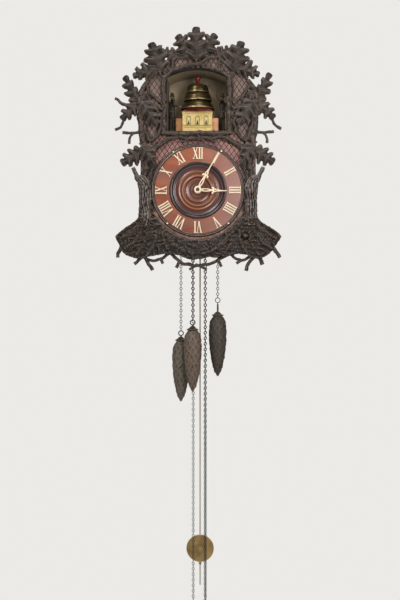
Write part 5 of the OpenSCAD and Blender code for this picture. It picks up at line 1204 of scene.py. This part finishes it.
cone = {
    "length": 173.0, "rows": 13, "around": 8, "tall": 20.0, "jitter": 0.17, "firstRow": 20.0, "lastRow": 166.0,
    "tilt": -0.06, "overlap": 1.08, "sunk": 0.6, "ring": 6.4, "longHook": 5, "coils": 5, "coilGap": 3.4,
    "body": [(12.4, 13), (15.8, 19), (18.6, 27), (20.4, 38), (21.2, 54), (21.0, 74), (19.4, 98), (16.6, 122),
             (12.8, 144), (8.8, 159), (4.6, 168), (1.2, 172)],
    "cap": [(0, 1), (2.4, 0.8), (3.4, -0.6), (5.8, -1.8), (7.4, -3.8), (9.6, -5.8), (12.4, -7.6), (15.0, -9.0),
            (15.6, -10.2), (14.8, -11.4), (12.8, -11.8), (12.4, -12.6), (12.9, -13.6), (12.2, -14.6),
            (11.0, -14.8), (0, -14.8)],
    "scale": [(0, 0.62, 0.02), (0.30, 0.36, 0.05), (0.56, 0.0, 0.08), (0.36, -0.36, 0.12), (0, -0.62, 0.16),
              (-0.36, -0.36, 0.12), (-0.56, 0.0, 0.08), (-0.30, 0.36, 0.05)],
    "weights": [  # in the order of the chains: tag, hook length, look, node
        ("Left", 2.5, "ironLeft", "weight_left"), ("Middle", 2.5, "ironMiddle", "weight_middle"),
        ("Right", 24.0, "ironRight", "weight_right")]}


def coneRadius(depth):
    return float(np.interp(depth, [p[1] for p in cone["body"]], [p[0] for p in cone["body"]]))


def scaleShape():  # a pillowed diamond plate, unit wide and tall, with its lower tip lifted
    verts = list(cone["scale"])
    verts += [(x * 0.62, z * 0.62 - 0.02, h + 0.055) for x, z, h in cone["scale"]] + [(0, -0.05, 0.17)]
    verts += [(x * 0.9, z * 0.9, -0.10) for x, z, _ in cone["scale"]] + [(0, 0, -0.12)]
    faces = []
    for k in range(8):
        n = (k + 1) % 8
        faces += [[k, n, 8 + n, 8 + k], [8 + k, 8 + n, 16], [n, k, 17 + k, 17 + n], [17 + n, 17 + k, 25]]
    return np.array(verts) / mm, faces, 0


def buildWeights():
    seedScale = meshOf("scaleSeed", [scaleShape()], "ironLeft")
    for (_, side, depth, links, body, _), (tag, drop, look, node) in zip(chains["runs"], cone["weights"]):
        x, y = side * wheelR, chains[depth]
        ringZ = endRingZ(links, cone["ring"], 1)
        capZ = ringZ - cone["ring"] - drop
        long = drop > cone["longHook"]
        profile = [(r, capZ - d) for r, d in splineThrough(cone["body"], 5)]
        core = turned([(0, profile[0][1])] + profile + [(0, capZ - cone["length"])], (x, y, 0), 48)
        cap = lathe([(r, capZ + h) for r, h in splineThrough(cone["cap"], 3)], (x, y, 0), 60,
                    lobes=lambda a, j: 1 + (0.04 * math.cos(10 * a) if 9 < j < 27 else 0.0))
        hook = [[x, y, capZ - 1, 2.0], [x, y, capZ + drop * 0.5, 1.7], [x, y, capZ + drop + 0.4, 1.3]]
        shells = [core, (*cap[:2], 1), wireRing(x, y, ringZ, cone["ring"], 1.0 if long else 1.4, 2),
                  smoothTube(hook, 12, 4, slot=1)]
        for i in range(cone["coils"] if long else 0):  # the long hook has a wound collar
            turn = [[x + 2.2 * math.cos(a), y + 2.2 * math.sin(a), capZ + 2.5 + i * cone["coilGap"] + 0.4 * a, 0.7]
                    for a in np.linspace(0, 2 * math.pi, 17)]
            shells.append(smoothTube(turn, 8, 1, slot=2))
        makePiece("weight" + tag, shells, look + " cap chain", 50, node, body)

        spots, turns, scales = [], [], []
        draw = random.Random(7 + side)
        for row, deep in enumerate(np.linspace(cone["firstRow"], cone["lastRow"], cone["rows"])):
            r = coneRadius(deep)
            slope = math.atan2(coneRadius(deep + 3) - coneRadius(deep - 3), 6.0)
            wide = 2 * math.pi * max(r, 2.2) / cone["around"]
            for k in range(cone["around"]):
                a = 2 * math.pi * (k + 0.5 * (row % 2)) / cone["around"] + cone["jitter"] * draw.uniform(-1, 1)
                ca, sa = math.cos(a), math.sin(a)
                along = Vector((-sa, ca, 0))
                up = Vector((-ca * math.sin(slope), -sa * math.sin(slope), math.cos(slope)))
                turn = Matrix((along, up, along.cross(up))).transposed() @ Matrix.Rotation(cone["tilt"], 3, "X")
                r0 = r - cone["sunk"]
                spots.append((x + r0 * ca, y + r0 * sa, capZ - deep + draw.uniform(-1.4, 1.4)))
                turns.append(tuple(turn.to_euler()))
                scales.append((wide * mm * cone["overlap"], cone["tall"] * mm * (0.7 + 0.3 * r / 21),
                               wide * mm * draw.uniform(0.8, 1.15)))
        tree = shapeTree("coneScales" + tag, look, 7)
        piece = repeated(pointsPiece("scales" + tag, spots, turns, scales), tree, Shape=seedScale)
        shadeByAngle(piece, 50)
        attach(piece, body=body)
    bpy.data.objects.remove(seedScale)


# Bells and spindle

bells = {
    "set": [  # name, node, radius, height of the rim, fuller shoulder; the large one leaves room for the hammer
        ("bellLarge", "bell_large", 45.0, -93.0, 0.0), ("bellMiddle", "bell_middle", 38.5, -71.0, 0.045),
        ("bellSmall", "bell_small", 31.0, -49.0, 0.045)],
    "lip": [(0, 0.0), (0, 1.0), (-0.5, 1.9), (-1.3, 2.4), (-1.1, 3.2), (-1.9, 4.4)],
    "sides": [(0.935, 6.2), (0.915, 7.6), (0.925, 8.2), (0.915, 8.8), (0.885, 11.5), (0.845, 14.6), (0.80, 17.2),
              (0.79, 18.0), (0.775, 18.5), (0.70, 20.4), (0.58, 22.3)],  # as shares of the radius
    "crown": [(0.44, 23.4), (0.30, 24.0)], "bore": [(1.9, 24.0), (1.9, 22.0)],
    "inside": [(0.30, 22.0), (0.56, 20.1), (0.72, 17.0), (0.80, 13.0), (0.87, 7.0)],
    "mouth": [(-3.0, 2.0), (-1.9, 0.0)], "bright": (0, 1, 2, 3, 13),
    "spindle": [
        (0, -104), (1.8, -104), (1.8, -97.2), (6.0, -97.0), (6.0, -95.6), (4.2, -94.8), (3.8, -90), (3.8, -72),
        (1.8, -71.4), (1.8, -69.2), (3.9, -68.6), (3.9, -50), (1.8, -49.4), (1.8, -47.2), (3.9, -46.6),
        (3.9, -27.4), (1.8, -27), (1.8, -25.0), (5.8, -24.8), (6.2, -23.6), (5.4, -22.6), (4.6, -21.6),
        (4.4, -20.2), (5.6, -19.4), (5.9, -18.6), (5.2, -17.6), (4.4, -16.9), (4.5, -16.2)],
    "finialR": 8.0, "finialZ": -9.3, "top": -1.2}


def buildBells():
    x, y = chapel["x"], chapel["bellY"]
    for name, node, r, rimZ, swell in bells["set"]:
        profile = [(r + out, up) for out, up in bells["lip"]]
        profile += [(r * (share + swell * min(1, (up - 6) / 8)), up) for share, up in bells["sides"]]
        profile += [(r * share, up) for share, up in bells["crown"]] + bells["bore"]
        profile += [(r * share, up) for share, up in bells["inside"]]
        profile += [(r + out, up) for out, up in bells["mouth"]]
        # the lip, one shoulder band and the mouth get the lighter rim finish: a painted highlight
        slots = [1 if i in bells["bright"] or i == len(profile) - 1 else 0 for i in range(len(profile))]
        shell = lathe([(a, b + rimZ) for a, b in profile], (x, y, 0), 96, "z", slots)
        makePiece(name, [shell], "bell bellRim", 50, node)
    r, turn = bells["finialR"], np.linspace(math.radians(-55), math.radians(90), 16)[:-1]
    finial = [(r * math.cos(a), bells["finialZ"] + r * math.sin(a)) for a in turn] + [(0, bells["top"])]
    makePiece("bellSpindle", [turned(bells["spindle"] + finial, (x, y, 0), 40)], "red", 40,
              "bell_spindle")


# Chapel: measured from the middle of its front at the ground

chapel = {
    "x": -3.0, "bellY": -128.6, "front": -150.0, "floor": -158.0, "tall": 56.6, "half": 39.0, "deep": 46,
    "windows": (-23, 0, 23), "window": (24, 45, 5.0), "door": (0.4, 13, 4.0), "corner": 1.6,
    "frame": (5.4, 24, 40, 0.55), "sill": (6.4, 22.6, 24.0),
    "trim": [(51.0, 53.2, 1.5, 0), (53.8, 56.0, 2.4, 0), (19.6, 21.4, 1.2, 1), (15.0, 16.4, 0.9, 1),
             (0, 2.0, 1.2, 0)],  # from, to, out, material
    "fir": [(0, 24.0), (2.9, 24.0), (2.3, 25.6), (2.5, 26.0), (1.6, 28.6), (1.7, 29.0), (0.9, 31.6), (0.5, 32.4),
            (0.95, 33.2), (0.8, 34.2), (0, 34.8)],
    "roof": [(1.6, -2.6, 3, 0, 1.6), (-0.6, -0.8, 1.4, 1.4, 3.4), (-3, 1, -1, 3.2, 6)],  # out, near, far, low, high
    "drum": [(0, 0.5), (21.2, 0.5), (21.2, 6.0), (38.0, 5.6), (39.4, 7.2), (38.8, 9.4), (36.0, 10.4), (0, 10.6)],
    "wings": [(-1, 18, "clay"), (1, 16, "salmon")], "wingTall": 40.5, "wingDeep": (6, 38),
    "panes": (0.32, 0.70), "pane": (1.9, 22, 29.5), "eaves": 0.9, "hipHalf": 1.5, "hipFrom": 13, "hipTo": 30,
    "hipTall": 40, "blade": (0.34, 0.34, 0.62), "bladeWide": 1.7, "bladeLean": 0.4,
    "mossRow": (-56, 48, 14), "mossGap": 5, "moss": [  # x, y, z, reach, count, height of each tuft
        (-46, -149, -158, 5, 26, 7), (39, -149, -158, 5, 26, 8), (-71, -141, -152.6, 6, 18, 4),
        (62, -135, -152.6, 6, 18, 4), (48, -147, -158, 7, 22, 6), (-58, -150, -158, 6, 18, 5)]}


def archOutline(cx, z, low, high, half):
    top = [(cx + half * math.cos(a), z + high - half + half * math.sin(a)) for a in np.linspace(0, math.pi, 12)]
    return [(cx + half, z + low)] + top + [(cx - half, z + low)]


def buildChapel():
    x, front, z, tall, half, deep = (chapel[key] for key in ("x", "front", "floor", "tall", "half", "deep"))

    def box(x0, y0, z0, x1, y1, z1, slot=0):
        return block((x + x0, front + y0, z + z0), (x + x1, front + y1, z + z1), slot)

    wall = [(x - half, z), (x + half, z), (x + half, z + tall), (x - half, z + tall)]
    openings = [archOutline(x + dx, z, *chapel["window"]) for dx in chapel["windows"]]
    openings.append(archOutline(x, z, *chapel["door"]))
    eaves = tall - 0.5
    sides = [box(-half - 0.4, 2.6, 0, 0.6 - half, deep, eaves), box(half - 0.6, 2.6, 0, half + 0.4, deep, eaves),
             box(-half, deep - 0.6, 0, half, deep + 0.4, eaves)]
    trim = [box(-half - out * 0.6, -out, low, half + out * 0.6, 1.0, high, slot)
            for low, high, out, slot in chapel["trim"]]
    c = chapel["corner"]
    trim += [box(dx - c, -1.1, 0, dx + c, 1.0, tall - 5.6) for dx in (c - half, half - c)]
    frames, firs = [], []
    (r, foot, spring, wire), (sillHalf, sillLow, sillHigh) = chapel["frame"], chapel["sill"]
    for dx in chapel["windows"]:
        arc = [(x + dx + r * math.cos(a), z + spring + r * math.sin(a)) for a in np.linspace(math.pi, 0, 14)]
        line = [(x + dx - r, z + foot)] + arc + [(x + dx + r, z + foot)]
        frames.append(smoothTube([[px, front - 0.3, pz, wire] for px, pz in line], 6, 1))
        frames.append(box(dx - sillHalf, -1.3, sillLow, dx + sillHalf, 0.6, sillHigh))
        firs.append(turned(chapel["fir"], (x + dx, front + 2.2, z), 14))
    roofs = [box(-half - out, near, tall + low, half + out, deep + far, tall + high)
             for out, near, far, low, high in chapel["roof"]]
    drum = turned([(r, z + tall + h) for r, h in chapel["drum"]], (x, chapel["bellY"], 0), 64)
    parts = [cutPlate("facade", [wall] + openings, 3.0, 0.3, "plaster", front),
             meshOf("walls", [box(-half, 2.9, 0, half, deep, tall)], "niche"),
             bevelled(meshOf("sideWalls", sides, "plaster"), 0.15, 1),
             bevelled(meshOf("trim", trim, "plaster olive"), 0.3),
             meshOf("frames", frames, "olive"), meshOf("firs", firs, "fir"),
             bevelled(meshOf("roof", roofs, "roofRed"), 0.5), meshOf("drum", [drum], "drum")]
    for s, wide, look in chapel["wings"]:
        (x0, x1), up = sorted((s * half, s * (half + wide))), chapel["wingTall"]
        near, far = chapel["wingDeep"]
        wing = [box(x0, near, 0, x1, far, up), box(x0 + 0.5, 5.2, 0, x1 - 0.5, 7, 3), box(x0, 5.4, 17, x1, 7, 18.6)]
        panes = [x0 + wide * share for share in chapel["panes"]]
        paneHalf, low, high = chapel["pane"]
        wing += [box(px - paneHalf, 5.6, low, px + paneHalf, 7, high) for px in panes]
        parts.append(bevelled(meshOf("wing%d" % s, wing, look), 0.3, 1))
        over, top, c = chapel["eaves"], chapel["hipTall"], chapel["hipHalf"]
        corners = [(x0 - over, 4.4, up), (x1 + over, 4.4, up), (x1 + over, 38.6, up), (x0 - over, 38.6, up)]
        middle, start, stop = (x0 + x1) / 2, chapel["hipFrom"], chapel["hipTo"]
        corners += [(middle + dx, dy, top) for dx, dy in ((-c, start), (c, start), (c, stop), (-c, stop))]
        faces = [[0, 3, 2, 1], [4, 5, 6, 7], [0, 1, 5, 4], [1, 2, 6, 5], [2, 3, 7, 6], [3, 0, 4, 7]]
        hip = np.array(corners) + np.array([x, front, z])
        parts.append(bevelled(meshOf("hip%d" % s, [(hip, faces, 0)], "pink"), 0.35, 1))
    piece = joined(parts, "chapel")
    shadeByAngle(piece, 40)
    attach(piece, "chapel")

    blade = ball((0, 0, 0.5 / mm), [size / mm for size in chapel["blade"]], 0, 4, 5)
    seedBlade = meshOf("bladeSeed", [blade], "moss")
    spots, turns, scales = [], [], []
    draw, lean = random.Random(21), chapel["bladeLean"]

    def tuft(cx, cy, cz, reach, count, high):
        for _ in range(count):
            a, r = draw.uniform(0, 2 * math.pi), reach * math.sqrt(draw.random())
            spots.append((cx + r * math.cos(a), cy + r * math.sin(a) * 0.7, cz))
            turns.append((draw.uniform(-lean, lean), draw.uniform(-lean, lean), a))
            wide = chapel["bladeWide"] * draw.uniform(0.7, 1.3) * mm
            scales.append((wide, wide, high * draw.uniform(0.6, 1.1) * mm))

    for cx in np.linspace(*chapel["mossRow"]):
        if abs(cx - x) > chapel["mossGap"]:
            tuft(cx, front - 2.5, z, 3.2, 9, draw.uniform(2.5, 5.5))
    for spot in chapel["moss"]:
        tuft(*spot)
    tree = shapeTree("mossTufts", "moss", 21)
    piece = repeated(pointsPiece("stageMoss", spots, turns, scales), tree, Shape=seedBlade)
    shadeByAngle(piece, None)
    attach(piece)
    bpy.data.objects.remove(seedBlade)


# Bell ringers: (out, back, up, radius) from the foot of a figure

ringers = {
    "footZ": -151.0, "figures": [  # tag, x, y, side of the still arm, hat height, brim, node
        ("Left", -71.0, -132.0, -1, 8.6, 5.9, "figure_left"), ("Right", 62.0, -126.0, 1, 6.0, 7.8, "figure_right")],
    "coat": [(0, 36), (8.4, 36), (8.5, 37.4), (7.6, 44), (6.3, 51), (6.0, 54), (6.7, 60), (7.7, 67), (8.2, 73),
             (7.2, 77.5), (4.4, 80.4), (2.7, 81.6), (2.7, 85), (0, 85)],
    "leg": [(3.6, 0, 2.5, 2.9), (3.7, -0.3, 14, 3.0), (3.5, -0.6, 24, 2.8), (3.4, 0, 40, 3.9)],
    "boot": [(3.7, 0, 3, 3.1), (3.7, 0, 15.5, 3.4)],
    "stillArm": [(7.4, 0, 75, 3.2), (9.6, 0.5, 66, 2.9), (9.0, -2, 57, 2.5), (5.0, -5.5, 53, 2.0)],
    "head": [  # middle and half sizes
        ((0, 0, 89.6), (4.3, 4.8, 5.6)), ((0, -4.5, 89.0), (0.75, 1.1, 1.3)), ((0, -3.3, 86.0), (2.0, 1.7, 1.5)),
        ((0, -4.1, 87.4), (1.35, 0.75, 0.5)), ((0, -3.5, 91.3), (2.9, 1.5, 0.7)),
        ((-4.3, 0.3, 89.2), (0.7, 1.2, 1.6)), ((4.3, 0.3, 89.2), (0.7, 1.2, 1.6)), ((0, 0, 84.2), (2.6, 2.6, 3.0)),
        ((-1.9, -3.4, 88.2), (1.5, 1.2, 1.2)), ((1.9, -3.4, 88.2), (1.5, 1.2, 1.2))],
    "shoe": ((3.8, -1.8, 2.0), (2.9, 5.0, 2.2)), "shoulders": ((0, -0.5, 76), (6.4, 4.6, 3.4)),
    "stillHand": ((5.0, -6.4, 52.4), (1.7, 1.7, 2.0)), "coatOval": (1.06, 0.80), "beltOval": (1.06, 0.84),
    "coatVoxel": 0.62, "headVoxel": 0.42, "buttons": 4, "button": (0.65, 0.5, 0.65),
    "collar": [(5.5, 83.6), (6.3, 83.4), (6.3, 82.2), (4.0, 81.2), (3.0, 81.6), (3.0, 83.0)],
    "belt": [(6.6, 51.2), (7.2, 51.4), (7.2, 53.4), (6.6, 53.6), (6.0, 52.4)],
    "hammer": [(0, -0.2), (2.2, -0.2), (2.7, 0.4), (2.7, 1.6), (2.2, 2.2), (2.2, 5.8), (2.7, 6.4), (2.7, 7.6),
               (2.2, 8.2), (0, 8.2)],
    "armZ": -71.0, "crankY": -103.0, "crank": 10.4, "arms": [  # elbow, hand and hammer from the arbor
        ("Left", -66.0, -146.0, -1, (2, -12), (13, -16), (18.94, -17), "left_arm", "figure_left_arm"),
        ("Right", 59.0, -140.0, 1, (-9, 6), (-13, 22), (-38.18, 43.6), "right_arm", "figure_right_arm")]}


def ovalTurned(profile, segments, x, y, z, wide, deep):
    verts, faces, slot = turned(profile, (0, 0, 0), segments)
    return verts * np.array([wide, deep, 1.0]) + np.array([x, y, z]), faces, slot


def buildRingers():
    z = ringers["footZ"]
    for tag, x, y, far, hatTall, brim, node in ringers["figures"]:
        def lump(form, side=1):
            (out, back, up), size = form
            return ball((x + side * out, y + back, z + up), size)

        coat = [ovalTurned(ringers["coat"], 30, x, y, z, *ringers["coatOval"])]
        for s in (-1, 1):
            coat.append(smoothTube(laid(ringers["leg"], s, x, y, z), 14, 5))
            coat.append(lump(ringers["shoe"], s))
            coat.append(smoothTube(laid(ringers["boot"], s, x, y, z), 14, 2))
        coat.append(smoothTube(laid(ringers["stillArm"], far, x, y, z), 12, 5))
        coat.append(lump(ringers["shoulders"]))
        body = fused(meshOf("coat" + tag, coat, "coat"), ringers["coatVoxel"], 3)
        skin = [lump(form) for form in ringers["head"]] + [lump(ringers["stillHand"], far)]
        head = fused(meshOf("head" + tag, skin, "skin"), ringers["headVoxel"], 2)
        extras = [turned(ringers["collar"], (x, y, z), 28),
                  ovalTurned(ringers["belt"], 32, x, y, z, *ringers["beltOval"])]
        extras += [ball((x, y - 6.2 + 0.25 * k, z + 57 + 4.6 * k), ringers["button"], 0, 6, 8)
                   for k in range(ringers["buttons"])]
        top = 94 + hatTall
        hat = [(0, 92.4), (4.4, 92.4), (brim, 93.2), (brim + 0.3, 93.8), (brim, 94.4), (5.1, 94.6), (4.9, 95.4),
               (4.6, top), (3.6, top + 1), (1.6, top + 1.6), (0, top + 1.7)]
        piece = joined([body, head, meshOf("trim" + tag, extras, "strap"),
                        meshOf("hat" + tag, [turned(hat, (x, y, z), 32)], "coat")], "ringer" + tag)
        shadeByAngle(piece, 55)
        attach(piece, node)

    z, crankY = ringers["armZ"], ringers["crankY"]
    for tag, x, armY, way, elbow, hand, hammer, body, node in ringers["arms"]:
        elbow, hand, hammer = np.array(elbow, float), np.array(hand, float), np.array(hammer)
        handle = (hammer - hand) / np.linalg.norm(hammer - hand)

        def rod(spots, sides, steps, slot=0):
            return smoothTube([[x + dx, armY, z + dz, r] for (dx, dz), r in spots], sides, steps, slot=slot)

        arbor = crankY + 2 - armY + 3
        reach = sorted((x, x + way * ringers["crank"]))
        shells = [
            rod([((0, 1), 3.7), (elbow / 2, 3.4), (elbow, 3.1), ((elbow + hand) / 2, 2.7),
                 (0.9 * hand + 0.1 * elbow, 2.5)], 16, 5),
            ball((x, armY, z + 1.2), (3.9, 3.8, 3.9)), ball((x + hand[0], armY, z + hand[1]), (2.1, 2.2, 2.1), 1),
            rod([(hand - 3.5 * handle, 0.9), (hammer + 2.2 * handle, 0.9)], 10, 2, 2),
            turned(ringers["hammer"], (x + hammer[0], armY + 4, z + hammer[1]), 20, 3, "y"),
            turned([(0, 0), (1.2, 0), (1.2, arbor), (0, arbor)], (x, crankY + 2, z), 16, 3, "y"),
            block((reach[0], crankY, z - 1.4), (reach[1], crankY + 1.5, z + 1.4), 3),
            turned([(0, 0), (0.7, 0), (0.7, 4), (0, 4)], (x + way * 9, crankY + 1, z), 12, 3, "y")]
        makePiece("arm" + tag, shells, "coat skin strap steel", 45, node, body)


# Pendulum bob

bob = {
    "length": 1026.0, "front": [
        (0, 6.5), (5.6, 6.3), (6.2, 5.8), (6.8, 5.8), (7.2, 6.5), (8.0, 6.5), (8.4, 6.0), (15.0, 5.7), (21.5, 5.0),
        (27.5, 4.0), (32.0, 2.8), (35.0, 1.9), (36.6, 1.2), (37.4, 0.6), (37.6, 0.0)],
    "back": [(37.4, -0.8), (36.4, -1.4), (26.0, -4.2), (12.0, -5.4), (0, -5.6)],
    "nut": [(0, 0), (3.4, 0), (4.0, 1.0), (4.0, 3.6), (3.2, 4.6), (0, 4.6)], "nutDrop": 43.0,
    "petals": 6, "petalRing": 3.7, "petal": (1.3, 0.7, 1.3), "eye": (1.5, 0.8, 1.5)}


def buildBob():
    z, y = place["pivotZ"] - bob["length"], place["pendulumY"]
    shells = [turned((bob["front"] + bob["back"])[::-1], (0, y, z), 128, axis="y")]
    for k in range(bob["petals"]):  # a small flower inside the raised ring
        a, r = 2 * math.pi * k / bob["petals"], bob["petalRing"]
        shells.append(ball((r * math.cos(a), y - 6.2, z + r * math.sin(a)), bob["petal"], 0, 6, 10))
    shells.append(ball((0, y - 6.4, z), bob["eye"], 0, 8, 14))
    shells.append(turned(bob["nut"], (0, y, z - bob["nutDrop"]), 20, 1))
    makePiece("pendulumBob", shells, "bob hardware", 40, "pendulum_bob", "bob")


for report, steps in (
        ("stage 3: branches, rail and trunks", (buildBranches,)), ("stage 4: leaves", (buildLeaves,)),
        ("stage 5: lattice and base carving", (buildLattice, buildBase)),
        ("stage 6: dial and hands", (buildDial, buildHands)),
        ("stage 7: chains, weights and bob", (buildChains, buildWeights, buildBob)),
        ("stage 8: bells, chapel and ringers", (buildBells, buildChapel, buildRingers))):
    for step in steps:
        step()
    print(report)


# Camera, light and floor

studio = {
    "spot": (0.100, -2.682, -0.598), "turn": 2.174, "lens": 57.69, "aim": (0, -0.1, -0.35), "lamps": [
        ("keyLamp", (-1.3, -2.2, 1.5), 38, 0.9), ("fillLamp", (1.9, -2.2, 0.3), 12, 1.4),
        ("topLamp", (0.2, -0.7, 1.7), 17, 0.8), ("backLamp", (0.5, 2.2, 0.6), 16, 1.6),
        ("stageLamp", (0.42, -1.0, -0.16), 3.0, 0.3)],
    "paper": (236, 234, 231), "sky": 0.36, "floorZ": -1602.0,
    "floor": [(-2000, -2300), (2200, -2300), (2200, 480), (-2000, 480)]}

lens = bpy.data.cameras.new("photoCamera")
lens.lens, lens.sensor_width, lens.clip_start = studio["lens"], 36.0, 0.05
camera = inScene("photoCamera", lens)
camera.location = studio["spot"]
camera.rotation_euler = (math.radians(90), 0, math.radians(studio["turn"]))
bpy.context.scene.camera = camera

for name, spot, power, size in studio["lamps"]:
    light = bpy.data.lights.new(name, "AREA")
    light.energy, light.size = power, size
    lamp = inScene(name, light)
    lamp.location = spot
    lamp.rotation_euler = (Vector(studio["aim"]) - Vector(spot)).to_track_quat("-Z", "Y").to_euler()

world = bpy.data.worlds.new("studio")
bpy.context.scene.world = world
world.use_nodes = True
sky = world.node_tree
sky.nodes.clear()
ray = addNode(sky, "ShaderNodeLightPath").outputs
seen = fromNode(sky, "ShaderNodeMath", 0, {0: ray["Is Camera Ray"], 1: ray["Is Transmission Ray"]},
                operation="MAXIMUM")
soft = fromNode(sky, "ShaderNodeBackground", 0, {"Color": (1, 1, 1, 1), "Strength": studio["sky"]})
plain = fromNode(sky, "ShaderNodeBackground", 0, {"Color": (*linear(*studio["paper"]), 1), "Strength": 1.0})
both = fromNode(sky, "ShaderNodeMixShader", 0, {0: seen, 1: soft, 2: plain})
addNode(sky, "ShaderNodeOutputWorld", {"Surface": both})

floorMesh = bpy.data.meshes.new("studioFloor")
floorMesh.from_pydata([(x * mm, y * mm, studio["floorZ"] * mm) for x, y in studio["floor"]], [], [(0, 1, 2, 3)])
floorMesh.materials.append(painted("floorPaper", (232, 230, 227), (240, 238, 235), 3, (0.8, 0.9), bump=0.02))
inScene("studioFloor", floorMesh)

bpy.context.scene.view_settings.view_transform = "Standard"
print("stage 9: camera, light and floor")
